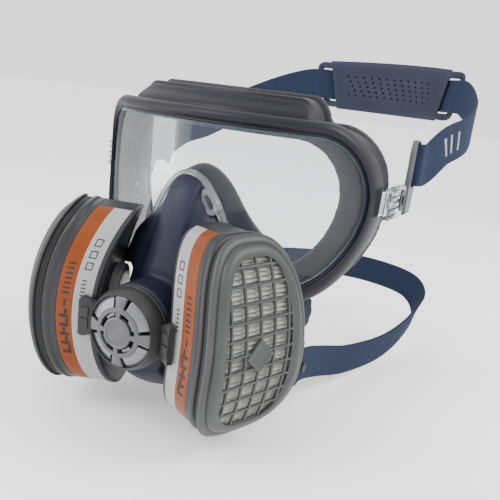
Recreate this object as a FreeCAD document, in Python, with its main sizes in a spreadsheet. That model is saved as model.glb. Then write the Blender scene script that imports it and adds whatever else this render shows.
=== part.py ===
"""Half-mask respirator with built-in goggles, twin clip-on filters and a two-strap harness.

Millimetres. The origin is the middle of the face seal, where the mask meets the wearer's face.
+X is the right-hand side seen from the front, +Y runs back through the head, +Z is up.
"""

import FreeCAD, Part
import math
import os

import Sketcher
from FreeCAD import Placement, Rotation, Vector

DRIVING_SIZES = {
    # goggles
    "lens_radius": 106.6,
    "lens_front": -55.0,
    "lens_top": 50.0,
    "lens_bottom": -30.5,
    "lens_half_width": 84.5,
    "lens_thickness": 2.0,
    "lip_across": 5.0,
    "lip_up": 8.0,
    "lip_proud": 2.5,
    "groove_depth": 5.0,
    "arch_top": 23.0,
    "arch_foot": 40.0,
    "rim_width": 2.6,
    "body_wall": 3.0,
    "face_radius": 110.0,
    "face_front": -20.0,
    "seal_thickness": 3.0,
    "opening_half_width": 66.0,
    "opening_top": 46.0,
    "hump_half_width": 54.0,
    "hump_top": 68.3,
    # facepiece and exhalation valve
    "facepiece_wall": 3.0,
    "valve_height": -51.4,
    "valve_front": -101.3,
    "valve_ring_radius": 20.6,
    "valve_bore_radius": 15.0,
    "boss_radius": 21.6,
    "boss_front": -94.0,
    "membrane_thickness": 0.8,
    # filters
    "filter_across": 62.0,
    "filter_forward": -83.8,
    "filter_height": -46.0,
    "filter_half_width": 29.6,
    "filter_half_height": 50.8,
    "filter_bow": 12.5,
    "casing_depth": 31.0,
    "casing_inset": 0.9,
    "casing_wall": 1.6,
    "cover_depth": 6.1,
    "cover_wall": 1.8,
    "port_radius": 13.0,
    "running_gap": 0.06,
    # harness
    "webbing_width": 25.0,
    "webbing_thickness": 1.5,
    "neck_webbing_width": 20.0,
    "pivot_radius": 4.0,
    "pivot_back": 19.6,
    "pivot_height": 19.0,
    "loop_radius": 103.6,
    "loop_across": 9.7,
    "loop_back": 109.0,
    "loop_height": 84.0,
    "neck_pin_radius": 3.0,
    "pad_height": 40.0,
    "pad_thickness": 2.5,
}

FILTER_YAW = 24.5
FILTER_TILT = 1.6
FILTER_ROLL = 2.5
FILTER_SQUARENESS = 2.96
FILTER_TAPER = 0.12
LEFT_BUCKLE_DROOP = 24.0
SIDES = {"right": 1, "left": -1}

doc = FreeCAD.newDocument("Respirator")
sheet = doc.addObject("Spreadsheet::Sheet", "Sizes")
subparts = []


class Size:
    """A length together with the expression that ties an object's property to the sheet."""

    def __init__(self, value, text):
        self.value = value
        self.text = text

    def combined(self, other, symbol, value):
        other_text = other.text if isinstance(other, Size) else repr(float(other))
        return Size(value, f"({self.text} {symbol} {other_text})")

    def __add__(self, other):
        return self.combined(other, "+", self.value + number(other))

    def __sub__(self, other):
        return self.combined(other, "-", self.value - number(other))

    def __mul__(self, other):
        return self.combined(other, "*", self.value * number(other))


def number(size):
    """The plain value of a Size or of a number."""
    return size.value if isinstance(size, Size) else float(size)


def plain(value):
    """A fixed length as a Size."""
    return Size(float(value), repr(float(value)))


def fill_sheet():
    """Writes the driving sizes and returns them by name."""
    sizes = {}
    for row, (name, value) in enumerate(DRIVING_SIZES.items(), start=1):
        sheet.set(f"A{row}", name)
        sheet.set(f"B{row}", str(value))
        sheet.setAlias(f"B{row}", name)
        sizes[name] = Size(value, f"Sizes.{name}")
    doc.recompute()
    return sizes


S = fill_sheet()


def mm(name):
    """The value of a driving size."""
    return S[name].value


# ---------------------------------------------------------------- document helpers


def keep(obj, label):
    """Registers a finished sub-part under its file name."""
    obj.Label = label
    subparts.append(obj)
    return obj


def feature(label, shape):
    """A sub-part whose free-form shape is worked out in this file."""
    obj = doc.addObject("Part::Feature", label)
    obj.Shape = shape
    return keep(obj, label)


def corner_sketch(body, name, plane_role, corners):
    """A closed outline of straight edges whose corners are bound to the sheet."""
    sketch = body.newObject("Sketcher::SketchObject", name)
    planes = [p for p in body.Origin.OriginFeatures if p.Role == plane_role]
    sketch.AttachmentSupport = (planes[0], [""])
    sketch.MapMode = "FlatFace"
    count = len(corners)
    points = [Vector(number(a), number(b), 0) for a, b in corners]
    for i in range(count):
        sketch.addGeometry(Part.LineSegment(points[i], points[(i + 1) % count]), False)
    for i in range(count):
        sketch.addConstraint(Sketcher.Constraint("Coincident", i, 2, (i + 1) % count, 1))
    for i, corner in enumerate(corners):
        for kind, size, axis in zip(("DistanceX", "DistanceY"), corner, (-2, -1)):
            if number(size) == 0:
                sketch.addConstraint(Sketcher.Constraint("PointOnObject", i, 1, axis))
                continue
            index = sketch.addConstraint(
                Sketcher.Constraint(kind, -1, 1, i, 1, number(size))
            )
            if isinstance(size, Size):
                sketch.setExpression(f"Constraints[{index}]", size.text)
    return sketch


def turned(name, corners, placement):
    """A body turned about its own Z axis from (radius, height) corners."""
    body = doc.addObject("PartDesign::Body", name + "_body")
    sketch = corner_sketch(body, name + "_profile", "XZ_Plane", corners)
    turn = body.newObject("PartDesign::Revolution", name + "_turn")
    turn.Profile = sketch
    turn.ReferenceAxis = (sketch, ["V_Axis"])
    turn.Angle = 360
    sketch.Visibility = False
    body.Placement = placement
    doc.recompute()
    return body


def padded(name, corners, length, placement, plane_role="XY_Plane"):
    """A body padded from an outline of (across, along) corners by a length."""
    body = doc.addObject("PartDesign::Body", name + "_body")
    sketch = corner_sketch(body, name + "_profile", plane_role, corners)
    pad = body.newObject("PartDesign::Pad", name + "_pad")
    pad.Profile = sketch
    pad.Length = number(length)
    if isinstance(length, Size):
        pad.setExpression("Length", length.text)
    body.Placement = placement
    doc.recompute()
    return body


def cylinder(name, radius, height, placement):
    """A Part cylinder bound to the sheet, for use in booleans."""
    obj = doc.addObject("Part::Cylinder", name)
    for prop, size in (("Radius", radius), ("Height", height)):
        setattr(obj, prop, number(size))
        if isinstance(size, Size):
            obj.setExpression(prop, size.text)
    obj.Placement = placement
    return obj


def cut(name, base, tool):
    """Base with the tool taken out of it."""
    obj = doc.addObject("Part::Cut", name)
    obj.Base = base
    obj.Tool = tool
    doc.recompute()
    return obj


def fuse(name, shapes):
    """Several document objects joined into one."""
    obj = doc.addObject("Part::MultiFuse", name)
    obj.Shapes = shapes
    doc.recompute()
    return obj


def tool(name, shape):
    """A free-form cutter."""
    obj = doc.addObject("Part::Feature", name)
    obj.Shape = shape
    return obj


def facing(origin, direction):
    """The placement that puts a body's own Z axis along a direction."""
    return Placement(origin, Rotation(Vector(0, 0, 1), direction))


def smooth_wire(points):
    """A closed smooth curve through points."""
    curve = Part.BSplineCurve()
    curve.interpolate(Points=points, PeriodicFlag=True)
    return Part.Wire(curve.toShape())


def bezier(*points):
    """A Bezier edge in the front view, from (across, up) pairs."""
    curve = Part.BezierCurve()
    curve.setPoles([Vector(x, 0, z) for x, z in points])
    return curve.toShape()


def line(start, end):
    """A straight edge in the front view."""
    return Part.LineSegment(Vector(start[0], 0, start[1]), Vector(end[0], 0, end[1])).toShape()


# ---------------------------------------------------------------- goggles

ROUND = 0.5523  # a Bezier handle of this share of the radius makes a quarter ellipse
FRONT_TO_BACK = 130.0


def mirrored(points):
    """The same points on the other side, in reverse order."""
    return [(-x, z) for x, z in reversed(points)]


def goggle_outline(half_width, top, bottom, shoulder, corner_height, foot):
    """A front-view outline: flat top, round upper corners, lower sides drawn in to a foot."""
    side_z = top - corner_height
    rise = side_z - bottom
    run = half_width - foot
    flat = half_width - shoulder
    corner = [
        (flat, top),
        (flat + ROUND * shoulder, top),
        (half_width, side_z + ROUND * corner_height),
        (half_width, side_z),
    ]
    lower = [
        (half_width, side_z),
        (half_width, side_z - 0.45 * rise),
        (foot + 0.55 * run, bottom + 0.05 * rise),
        (foot, bottom),
    ]
    edges = [
        line((-flat, top), (flat, top)),
        bezier(*corner),
        bezier(*lower),
        line((foot, bottom), (-foot, bottom)),
        bezier(*mirrored(lower)),
        bezier(*mirrored(corner)),
    ]
    return Part.Wire(edges)


def prism(wire):
    """The front-view outline swept from well in front of the goggles to well behind them."""
    solid = Part.Face(wire).extrude(Vector(0, FRONT_TO_BACK, 0))
    solid.translate(Vector(0, -80, 0))
    return solid


def lens_outline(across=0.0, up=0.0):
    """The lens edge, grown across and up by the given amounts."""
    half_width = mm("lens_half_width") + across
    top = mm("lens_top") + up
    bottom = mm("lens_bottom") - up
    return goggle_outline(half_width, top, bottom, 23 + across, 33 + up, 55 + across)


def arch_outline(grow=0.0):
    """The nose cut-out in the lens: a bell shape that opens downwards."""
    foot = mm("arch_foot") + grow
    top = mm("arch_top") + grow
    bottom = mm("lens_bottom")
    below = bottom - 20
    side = [(0, top), (17 + grow, top), (22 + grow, -12), (foot, bottom)]
    edges = [
        bezier(*side),
        line((foot, bottom), (foot, below)),
        line((foot, below), (-foot, below)),
        line((-foot, below), (-foot, bottom)),
        bezier(*mirrored(side)),
    ]
    return Part.Wire(edges)


def upright_cylinder(radius, centre_back):
    """A tall vertical cylinder centred on the middle plane."""
    return Part.makeCylinder(radius, 300, Vector(0, centre_back, -150))


def lens_shell(inside, outside):
    """The space between two cylinders concentric with the lens, front half only."""
    centre = mm("lens_front") + mm("lens_radius")
    shell = upright_cylinder(mm("lens_radius") + outside, centre)
    shell = shell.cut(upright_cylinder(mm("lens_radius") - inside, centre))
    return shell.common(Part.makeBox(400, 200, 300, Vector(-200, centre - 200, -150)))


def face(depth):
    """The wearer's face as a cylinder, grown forwards by a depth."""
    return upright_cylinder(mm("face_radius") + depth, mm("face_front") + mm("face_radius"))


def hump_outline(inset):
    """The raised brow section on top of the goggles."""
    half = mm("hump_half_width") - inset
    top = mm("hump_top") - inset
    base = mm("lens_top") - 4 + inset
    end = 9 - inset / 2
    rounded = [(half - end, top), (half - end * 0.35, top), (half, top - end * 0.5), (half + 3, base)]
    edges = [
        line((-half + end, top), (half - end, top)),
        bezier(*rounded),
        line((half + 3, base), (-half - 3, base)),
        bezier(*mirrored(rounded)),
    ]
    return Part.Wire(edges)


def opening_outline():
    """The edge of the face opening, inside the goggles."""
    return goggle_outline(mm("opening_half_width"), mm("opening_top"), -27, 24, 30, 38)


def make_goggles(facepiece_outer):
    """Lens, bezel, nose rim, body and face seal, fitted round the facepiece."""
    lens = prism(lens_outline(1.5, 1.5)).common(lens_shell(mm("lens_thickness"), 0))
    filters = [filter_space(side, -mm("casing_depth") - 0.4, 0.6) for side in SIDES.values()]
    lens = lens.cut(prism(arch_outline())).cut([facepiece_outer] + filters)

    ring = prism(lens_outline(mm("lip_across"), mm("lip_up"))).cut(prism(lens_outline()))
    bezel = ring.common(lens_shell(mm("groove_depth"), mm("lip_proud")))
    foot = mm("arch_foot") + 3
    bezel = bezel.cut(Part.makeBox(2 * foot, 200, 60, Vector(-foot, -100, -75)))
    bezel = bezel.cut(lens).cut([facepiece_outer] + filters)

    rim = prism(arch_outline(1.6)).cut(prism(arch_outline(1.6 - mm("rim_width"))))
    rim = rim.common(lens_shell(4, 2)).common(Part.makeBox(90, 90, 60, Vector(-45, -80, -30)))
    rim = rim.cut(lens).cut(bezel).cut(facepiece_outer)

    seal_front = face(mm("seal_thickness"))
    back_limit = Part.makeBox(300, 200, 300, Vector(-150, -185, -150))
    lens_centre = mm("lens_front") + mm("lens_radius")
    behind_bezel = upright_cylinder(mm("lens_radius") - mm("groove_depth"), lens_centre)
    behind_brow = upright_cylinder(
        mm("lens_radius") - mm("groove_depth") - mm("body_wall"), lens_centre
    )
    outside = prism(lens_outline(3.5, 5.5)).fuse(prism(hump_outline(0)))
    flange = face(mm("seal_thickness") + mm("body_wall"))
    brow_hollow = prism(hump_outline(mm("body_wall"))).common(behind_brow)
    hollow = prism(lens_outline(0, 1)).fuse(brow_hollow)
    body = outside.common(behind_bezel).common(back_limit).cut(seal_front)
    body = body.cut(hollow.cut(flange)).cut(prism(opening_outline())).cut(facepiece_outer)

    seal = prism(lens_outline(3.5, 7.5)).fuse(prism(hump_outline(-2))).common(seal_front)
    seal = seal.cut(face(0)).cut(prism(opening_outline())).cut(facepiece_outer)
    seal = seal.common(Part.makeBox(300, 200, 300, Vector(-150, -181, -150)))

    feature("lens", lens)
    feature("lens_bezel", bezel)
    feature("lens_nose_rim", rim)
    feature("goggle_body", body)
    feature("face_seal", seal)


# ---------------------------------------------------------------- facepiece

# Half outlines of the cup from its top centre down to its bottom centre, as (across, up),
# at distances back from the valve to past the wearer's cheeks.
CUP_STATIONS = {
    -92.0: [(0, -42), (9, -44), (15, -48), (19, -54), (19, -61), (16, -69), (9, -75), (0, -77)],
    -84.0: [(0, -38), (10, -41), (18, -46), (23, -54), (23, -63), (19, -73), (11, -81), (0, -85)],
    -72.0: [(0, -10), (8, -14), (15, -25), (23, -40), (28, -57), (26, -73), (17, -86), (0, -91)],
    -60.0: [(0, 19), (7, 16), (13, 6), (20, -13), (29, -36), (34, -58), (28, -80), (0, -93)],
    -45.0: [(0, 27), (8, 24), (15, 14), (25, -4), (36, -30), (42, -57), (34, -80), (0, -94)],
    -30.0: [(0, 24), (9, 20.5), (19, 9), (32, -8), (45, -32), (50, -57), (41, -79), (0, -94)],
    -20.0: [(0, 14), (10, 11), (20, 0), (34, -13), (48, -35), (53.5, -57), (44, -79), (0, -94)],
    -10.0: [(0, 9), (11, 6), (22, -4), (37, -17), (52, -37), (57, -57), (47, -79), (0, -93)],
    25.0: [(0, 5), (12, 2), (25, -8), (41, -20), (56, -38), (61, -57), (50, -79), (0, -92)],
}
CUP_CENTRE_SHARE = 0.45


def cup_section(back, half, inset):
    """One closed section of the cup, drawn in towards its middle by an inset."""
    top = half[0][1]
    bottom = half[-1][1]
    centre = bottom + (top - bottom) * CUP_CENTRE_SHARE
    drawn = []
    for x, z in half:
        reach = math.hypot(x, z - centre)
        share = max(0.25, 1 - inset / reach)
        drawn.append((x * share, centre + (z - centre) * share))
    outline = drawn + [(-x, z) for x, z in reversed(drawn[1:-1])]
    return smooth_wire([Vector(x, back, z) for x, z in outline])


def cup(inset):
    """The cup as a closed solid, from its front to past the face."""
    wires = [cup_section(back + inset, half, inset) for back, half in CUP_STATIONS.items()]
    return Part.makeLoft(wires, True, False)


def valve_place(front):
    """The placement of a turned valve part: its own Z axis points forwards."""
    return facing(Vector(0, front, mm("valve_height")), Vector(0, -1, 0))


def forward_cylinder(radius, front, back):
    """A cylinder on the exhalation valve's axis."""
    return Part.makeCylinder(
        radius, back - front, Vector(0, front, mm("valve_height")), Vector(0, 1, 0)
    )


def cup_outer():
    """The facepiece's outside as a filled solid, with the valve boss."""
    body = cup(0).cut(face(0))
    body = body.fuse(forward_cylinder(mm("boss_radius"), mm("boss_front"), -74))
    for side in SIDES.values():
        body = body.cut(filter_space(side, -mm("casing_depth") - 0.4, 0.6))
    return body.removeSplitter()


def make_facepiece(outer):
    """The soft cup, hollow and open at the back, with its valve bore and filter ports."""
    hollow = cup(mm("facepiece_wall"))
    for side in SIDES.values():
        seat = -mm("casing_depth") - 0.4 - mm("facepiece_wall")
        hollow = hollow.cut(filter_space(side, seat, 3.0))
    shape = outer.cut(hollow)
    shape = shape.cut(forward_cylinder(mm("valve_bore_radius") + 1, -110, -60))
    for side in SIDES.values():
        port = Part.makeCylinder(mm("port_radius") + 3, 14, Vector(-42, 0, 0), Vector(1, 0, 0))
        shape = shape.cut(placed(port, filter_place(side)))
    feature("facepiece", shape)


# ---------------------------------------------------------------- exhalation valve

CLIP_INNER = 19.4
CLIP_HALF_HEIGHT = 11.0
CLIP_PLATE = 1.0


def ring_sector(inner, outer, start, sweep, depth):
    """A piece of a flat ring about Z, from a start angle through a sweep."""
    disc = Part.makeCylinder(outer, depth, Vector(0, 0, 0), Vector(0, 0, 1), sweep)
    hole = Part.makeCylinder(inner, depth, Vector(0, 0, 0), Vector(0, 0, 1))
    sector = disc.cut(hole)
    sector.rotate(Vector(0, 0, 0), Vector(0, 0, 1), start)
    return sector


def make_exhalation_valve():
    """Seat, flap and the domed cover that protects them, all on the valve's axis."""
    bore = S["valve_bore_radius"]
    ring = S["valve_ring_radius"]
    gap = plain(0.3)
    seat = turned(
        "exhalation_seat",
        [
            (bore - 2, plain(-12)),
            (bore + 0.9, plain(-12)),
            (bore + 0.9, plain(0)),
            (ring - 2.6, plain(0)),
            (ring - 2.6, plain(2.2)),
            (bore - 2, plain(2.2)),
        ],
        valve_place(mm("boss_front")),
    )
    reach = mm("valve_bore_radius") - 1.5
    across = Part.makeBox(2 * reach, 1.6, 2, Vector(-reach, -0.8, 0))
    upright = Part.makeBox(1.6, 2 * reach, 2, Vector(-0.8, -reach, 0))
    cross = across.fuse([upright, Part.makeCylinder(3, 2)])
    cross.Placement = valve_place(mm("boss_front"))
    keep(fuse("exhalation_seat_whole", [seat, tool("exhalation_seat_cross", cross)]), "exhalation_seat")

    thickness = S["membrane_thickness"]
    flap = turned(
        "exhalation_membrane",
        [
            (plain(0), gap),
            (bore + 0.6, gap),
            (bore + 0.6, gap + thickness),
            (plain(2.5), gap + thickness),
            (plain(2.5), gap + thickness + 0.8),
            (plain(0), gap + thickness + 0.8),
        ],
        valve_place(mm("boss_front") - 2.2),
    )
    keep(flap, "exhalation_membrane")

    # corner heights are measured forwards from the ring's front edge
    shell = turned(
        "exhalation_cover",
        [
            (ring + 0.4, plain(-7)),
            (ring + 0.4, plain(-2)),
            (ring, plain(0)),
            (ring - 1.2, plain(2.8)),
            (ring - 3.3, plain(4.9)),
            (plain(9), plain(6.6)),
            (plain(0), plain(7.0)),
            (plain(0), plain(5.4)),
            (plain(9), plain(5.0)),
            (ring - 3.9, plain(3.3)),
            (ring - 2.2, plain(1.2)),
            (ring - 1.4, plain(-2)),
            (ring - 1.4, plain(-4.6)),
            (ring - 0.2, plain(-5.0)),
            (ring - 0.2, plain(-7)),
        ],
        valve_place(mm("valve_front")),
    )
    notch = Part.makeBox(10, 24, 8, Vector(CLIP_INNER - 2.4, -12, -7.5))
    vents = notch.fuse(notch.mirror(Vector(0, 0, 0), Vector(1, 0, 0)))
    for quarter in range(4):
        around = ring_sector(9.4, 10.8, 90 * quarter + 12, 66, 12)
        spoke = Part.makeBox(6.5, 1.5, 12, Vector(11.6, -0.75, 0))
        spoke.rotate(Vector(0, 0, 0), Vector(0, 0, 1), 90 * quarter + 45)
        vents = vents.fuse([around, spoke])
    vents.Placement = valve_place(mm("valve_front"))
    keep(cut("exhalation_cover_vented", shell, tool("exhalation_cover_vents", vents)), "exhalation_cover")


# ---------------------------------------------------------------- filters


def filter_place(side):
    """A filter's own frame: +X out through its grille, +Z up its long side."""
    yaw = math.radians(FILTER_YAW)
    tilt = math.radians(FILTER_TILT)
    roll = math.radians(FILTER_ROLL)
    out = Vector(
        side * math.cos(yaw) * math.cos(tilt), -math.sin(yaw) * math.cos(tilt), math.sin(tilt)
    )
    forward = Vector(-side * math.sin(yaw), -math.cos(yaw), 0)
    up = forward.cross(out) * side
    up.normalize()
    long_side = up * math.cos(roll) + forward * math.sin(roll)
    long_side.normalize()
    centre = Vector(side * mm("filter_across"), mm("filter_forward"), mm("filter_height"))
    return Placement(centre, Rotation(out, long_side.cross(out), long_side, "XYZ"))


def placed(shape, placement):
    """A copy of a shape, moved from its own frame into the model."""
    copy = shape.copy()
    copy.Placement = placement.multiply(copy.Placement)
    return copy


def filter_prism(inset, inset_up=None):
    """The filter's outline, a rounded rectangle narrower at the top, swept along its X."""
    half_width = mm("filter_half_width") - inset
    half_height = mm("filter_half_height") - (inset if inset_up is None else inset_up)
    power = 2 / FILTER_SQUARENESS
    points = []
    for k in range(36):
        angle = 2 * math.pi * (k + 0.5) / 36
        across = math.copysign(abs(math.cos(angle)) ** power, math.cos(angle))
        up = math.copysign(abs(math.sin(angle)) ** power, math.sin(angle))
        points.append(Vector(-60, half_width * across * (1 - FILTER_TAPER * up), half_height * up))
    return Part.Face(smooth_wire(points)).extrude(Vector(120, 0, 0))


def bowed_cylinder(depth):
    """A cylinder whose surface crosses the filter's X axis at a depth and bows inwards above and below."""
    radius = mm("filter_half_height") ** 2 / (2 * mm("filter_bow"))
    return Part.makeCylinder(radius, 160, Vector(depth - radius, -80, 0), Vector(0, 1, 0))


def bowed_layer(inset, start, end):
    """A layer of the filter between two depths, bowed to the face."""
    return filter_prism(inset).common(bowed_cylinder(end)).cut(bowed_cylinder(start))


def filter_space(side, depth, grow):
    """Everything outside a depth that the filter and its way off the mask take up."""
    return placed(filter_prism(-grow).cut(bowed_cylinder(depth)), filter_place(side))


def grille_cells():
    """The cover's windows: rows and columns of cells inside an inset outline."""
    column_pitch = 8.5
    row_pitch = 8.0
    bar = 1.3
    cells = []
    for row in range(-5, 6):
        for column in range(-3, 3):
            corner = Vector(0, column * column_pitch + bar / 2, (row - 0.5) * row_pitch + bar / 2)
            cells.append(Part.makeBox(20, column_pitch - bar, row_pitch - bar, corner))
    inside = filter_prism(10.0, 7.3)
    return Part.makeCompound(cells).common(inside)


def make_filter(name, side):
    """One filter: casing, label, carbon bed, pleated block, gasket and grille cover."""
    place = filter_place(side)
    depth = mm("casing_depth")
    inset = mm("casing_inset")
    wall = mm("casing_wall")
    seam = 1.5

    casing = bowed_layer(inset, -depth, -seam)
    casing = casing.cut(filter_prism(inset + wall).cut(bowed_cylinder(wall - depth)))
    port = Part.makeCylinder(mm("port_radius"), 10, Vector(-depth - 5, 0, 0), Vector(1, 0, 0))
    feature("filter_casing_" + name, placed(casing.cut(port), place))

    label_thickness = 0.3
    label = bowed_layer(inset - label_thickness, -27, -10).cut(filter_prism(inset))
    label = label.common(Part.makeBox(120, 60, 92, Vector(-60, -side * 30 - 30 - side * 4, -50)))
    feature("filter_label_" + name, placed(label, place))

    carbon = bowed_layer(inset + wall, 3 - depth, -12.5)
    feature("carbon_bed_" + name, placed(carbon, place))

    pleats = bowed_layer(inset + wall + 1.5, -12.5, mm("cover_depth") - mm("cover_wall") - 0.4)
    feature("pleated_filter_" + name, placed(pleats, place))

    gasket = bowed_layer(inset + 0.5, -seam, seam).cut(filter_prism(inset + wall + 1.5))
    feature("filter_gasket_" + name, placed(gasket, place))

    flange = bowed_layer(0, seam, 3.6)
    face_block = bowed_layer(2.2, 3.6, mm("cover_depth"))
    inner = filter_prism(mm("cover_wall") + 0.6).common(
        bowed_cylinder(mm("cover_depth") - mm("cover_wall"))
    )
    cover = flange.fuse(face_block).cut(inner).cut(grille_cells())
    feature("filter_cover_" + name, placed(cover.removeSplitter(), place))


def make_inhalation_valve(name, side):
    """The port ring that a filter seats on, and the flap on its inner end."""
    place = filter_place(side)
    out = place.Rotation.multVec(Vector(1, 0, 0))
    centre = place.Base + out * -mm("casing_depth")
    port = S["port_radius"]
    spigot = port - S["running_gap"]
    seat = turned(
        "inhalation_seat_" + name,
        [
            (port - 3, plain(-6)),
            (port + 2.9, plain(-6)),
            (port + 2.9, plain(-1.7)),
            (spigot, plain(-1.7)),
            (spigot, plain(2.2)),
            (port - 3, plain(2.2)),
        ],
        facing(centre, out),
    )
    reach = mm("port_radius") - 2.5
    bar = Part.makeBox(2 * reach, 1.6, 2, Vector(-reach, -0.8, -5))
    bar.Placement = facing(centre, out)
    seat_tool = tool("inhalation_bar_" + name, bar)
    keep(fuse("inhalation_seat_whole_" + name, [seat, seat_tool]), "inhalation_seat_" + name)

    thickness = S["membrane_thickness"]
    flap = turned(
        "inhalation_membrane_" + name,
        [
            (plain(0), plain(-6.2) - thickness),
            (port - 1, plain(-6.2) - thickness),
            (port - 1, plain(-6.2)),
            (plain(0), plain(-6.2)),
        ],
        facing(centre, out),
    )
    keep(flap, "inhalation_membrane_" + name)


def make_retaining_tab(name, side):
    """The clip beside the valve: a foot on the yoke and a nose over a filter's front edge."""
    place = filter_place(side)
    front = mm("filter_half_width") - mm("casing_inset") + 1.2

    def nose(depth, ahead):
        corner = place.multVec(Vector(depth - mm("casing_depth"), -side * ahead, 0))
        return abs(corner.x), corner.y

    rear = mm("boss_front") - CLIP_PLATE - 0.2
    outline = [
        (CLIP_INNER, rear),
        (CLIP_INNER + 1.5, rear),
        (CLIP_INNER + 1.5, rear - 1.8),
        nose(2, front),
        nose(8, front),
        nose(8, front + 3),
        nose(2, front + 3),
        (CLIP_INNER, rear - 4.6),
    ]
    corners = [(plain(side * x), plain(y)) for x, y in outline]
    lift = Placement(Vector(0, 0, mm("valve_height") - CLIP_HALF_HEIGHT), Rotation())
    label = "retaining_tab_" + name
    return keep(padded(label, corners, plain(2 * CLIP_HALF_HEIGHT), lift), label)


def make_filter_yoke():
    """The ring round the valve seat with the two plates that the retaining tabs stand on."""
    seat_edge = mm("valve_ring_radius") - 2.6
    reach = CLIP_INNER + 1.9
    half = CLIP_HALF_HEIGHT - 0.5
    arms = Part.makeBox(2 * reach, 2 * half, CLIP_PLATE, Vector(-reach, -half, 0))
    plate = Part.makeCylinder(19.2, 1.8).fuse(arms).cut(Part.makeCylinder(seat_edge, 4))
    plate.Placement = valve_place(mm("boss_front"))
    feature("filter_yoke", plate)


# ---------------------------------------------------------------- harness


def band_section(at, ahead, half_width, half_thickness, twist=0.0):
    """A rectangle across a strap's run: its long side upright, leaned by a twist in degrees."""
    ahead.normalize()
    up = Vector(0, 0, 1) - ahead * ahead.z
    up.normalize()
    aside = ahead.cross(up)
    turn = Rotation(ahead, twist)
    wide = turn.multVec(up) * half_width
    thick = turn.multVec(aside) * half_thickness
    corners = [at + wide + thick, at + wide - thick, at - wide - thick, at - wide + thick]
    return Part.makePolygon(corners + corners[:1])


def band(points, width, twists=None):
    """A flat strap through points."""
    half_thickness = mm("webbing_thickness") / 2
    twists = twists or [0.0] * len(points)
    wires = []
    for i, point in enumerate(points):
        before = points[max(i - 1, 0)]
        after = points[min(i + 1, len(points) - 1)]
        wires.append(band_section(point, after - before, width / 2, half_thickness, twists[i]))
    return Part.makeLoft(wires, True, False)


def loop_point(angle, height):
    """A point of the upper strap's circle round the head."""
    reach = mm("loop_radius")
    turn = math.radians(angle)
    return Vector(
        mm("loop_across") + reach * math.cos(turn), mm("loop_back") + reach * math.sin(turn), height
    )


# Angle round the head and height of the upper strap's middle line. It lies level behind the pad.
UPPER_RUN = [
    (-22, 50), (-10, 56), (0, 61), (12, 68), (24, 77), (33, 83), (38, 84), (48, 84), (58, 84),
    (68, 84), (78, 84), (88, 84), (98, 84), (108, 84), (117, 83.6), (124, 80.5), (134, 73.5),
    (144, 65.5), (154, 57.5), (165, 49), (178, 41),
]
BUCKLE_BACK = 46.0
BUCKLE_LOW = 8.5
BUCKLE_TOP = 52.5
WINDOW_HEIGHT = 38.2
STRAP_ACROSS = 98.6


def fold_outline():
    """Where the webbing turns round the buckle's rear bar, as (across, back) corners."""
    t = mm("webbing_thickness")
    outer = STRAP_ACROSS + t / 2
    inner = outer - 8.2
    front = 39.2
    return [
        (outer, 47.0), (outer, front), (inner, front), (inner, 60.0), (inner + t, 60.0),
        (inner + t, front + t), (outer - t, front + t), (outer - t, 47.0),
    ]


def buckle_turn(side):
    """How far a buckle and the webbing end have swung down on their pivot."""
    centre = Vector(0, mm("pivot_back"), mm("pivot_height"))
    droop = LEFT_BUCKLE_DROOP if side < 0 else 0.0
    return Placement(Vector(), Rotation(Vector(1, 0, 0), -droop), centre)


def make_upper_strap():
    """One length of elastic webbing from buckle to buckle round the back of the head."""
    ends = {}
    folds = []
    for side in SIDES.values():
        corners = [Vector(side * x, y, WINDOW_HEIGHT - mm("webbing_width") / 2) for x, y in fold_outline()]
        fold = Part.Face(Part.makePolygon(corners + corners[:1]))
        fold = fold.extrude(Vector(0, 0, mm("webbing_width")))
        folds.append(placed(fold, buckle_turn(side)))
        start = Vector(side * STRAP_ACROSS, 47.0, WINDOW_HEIGHT)
        near = Vector(side * (STRAP_ACROSS + (0.8 if side > 0 else 0)), 53.0, WINDOW_HEIGHT + 0.4)
        ends[side] = [buckle_turn(side).multVec(p) for p in (start, near)]
    middle = [loop_point(angle, height) for angle, height in UPPER_RUN]
    left_lead = [Vector(-95.5, 82, 35.0)]
    points = ends[1] + middle + left_lead + ends[-1][::-1]
    strap = band(points, mm("webbing_width"))
    feature("upper_strap", Part.makeCompound([strap] + folds))


def loop_sector(name, inner, outer, low, high, start, end):
    """A piece of a ring about the upper strap's axis, made from two bound cylinders."""
    middle = Vector(mm("loop_across"), mm("loop_back"), low)
    place = Placement(middle, Rotation(Vector(0, 0, 1), start))
    disc = cylinder(name + "_disc", outer, plain(high - low), place)
    disc.Angle = end - start
    hole = cylinder(name + "_hole", inner, plain(high - low), place)
    return cut(name, disc, hole)


# Each end of the pad: the angles its bars run between, then those of the post outside the strap.
PAD_ENDS = [("right", 41, 47.001, 41, 43.2), ("left", 107.999, 114, 111.8, 114)]


def make_head_pad():
    """The curved pad inside the strap, with a framed slot for the strap at each end."""
    strap = S["loop_radius"]
    gap = mm("webbing_thickness") / 2 + 0.85
    inside = strap - gap - S["pad_thickness"]
    half = mm("pad_height") / 2
    middle = mm("loop_height")
    window = mm("webbing_width") / 2 + 1.2
    pieces = [loop_sector("pad_panel", inside, strap - gap, middle - half, middle + half, 47, 108)]
    bottom = middle - half + 1
    top = middle + half - 1
    frame = strap + gap + 2.5
    for end, start, stop, post_start, post_stop in PAD_ENDS:
        low_bar = loop_sector(f"pad_{end}_low", inside, frame, bottom, middle - window, start, stop)
        high_bar = loop_sector(f"pad_{end}_high", inside, frame, middle + window, top, start, stop)
        post = loop_sector(f"pad_{end}_post", strap + gap, frame, bottom, top, post_start, post_stop)
        pieces += [low_bar, high_bar, post]
    keep(fuse("head_pad_whole", pieces), "head_pad")


ARM_INNER = 91.8
ARM_THICKNESS = 3.6
TONGUE_INNER = 88.6


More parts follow.
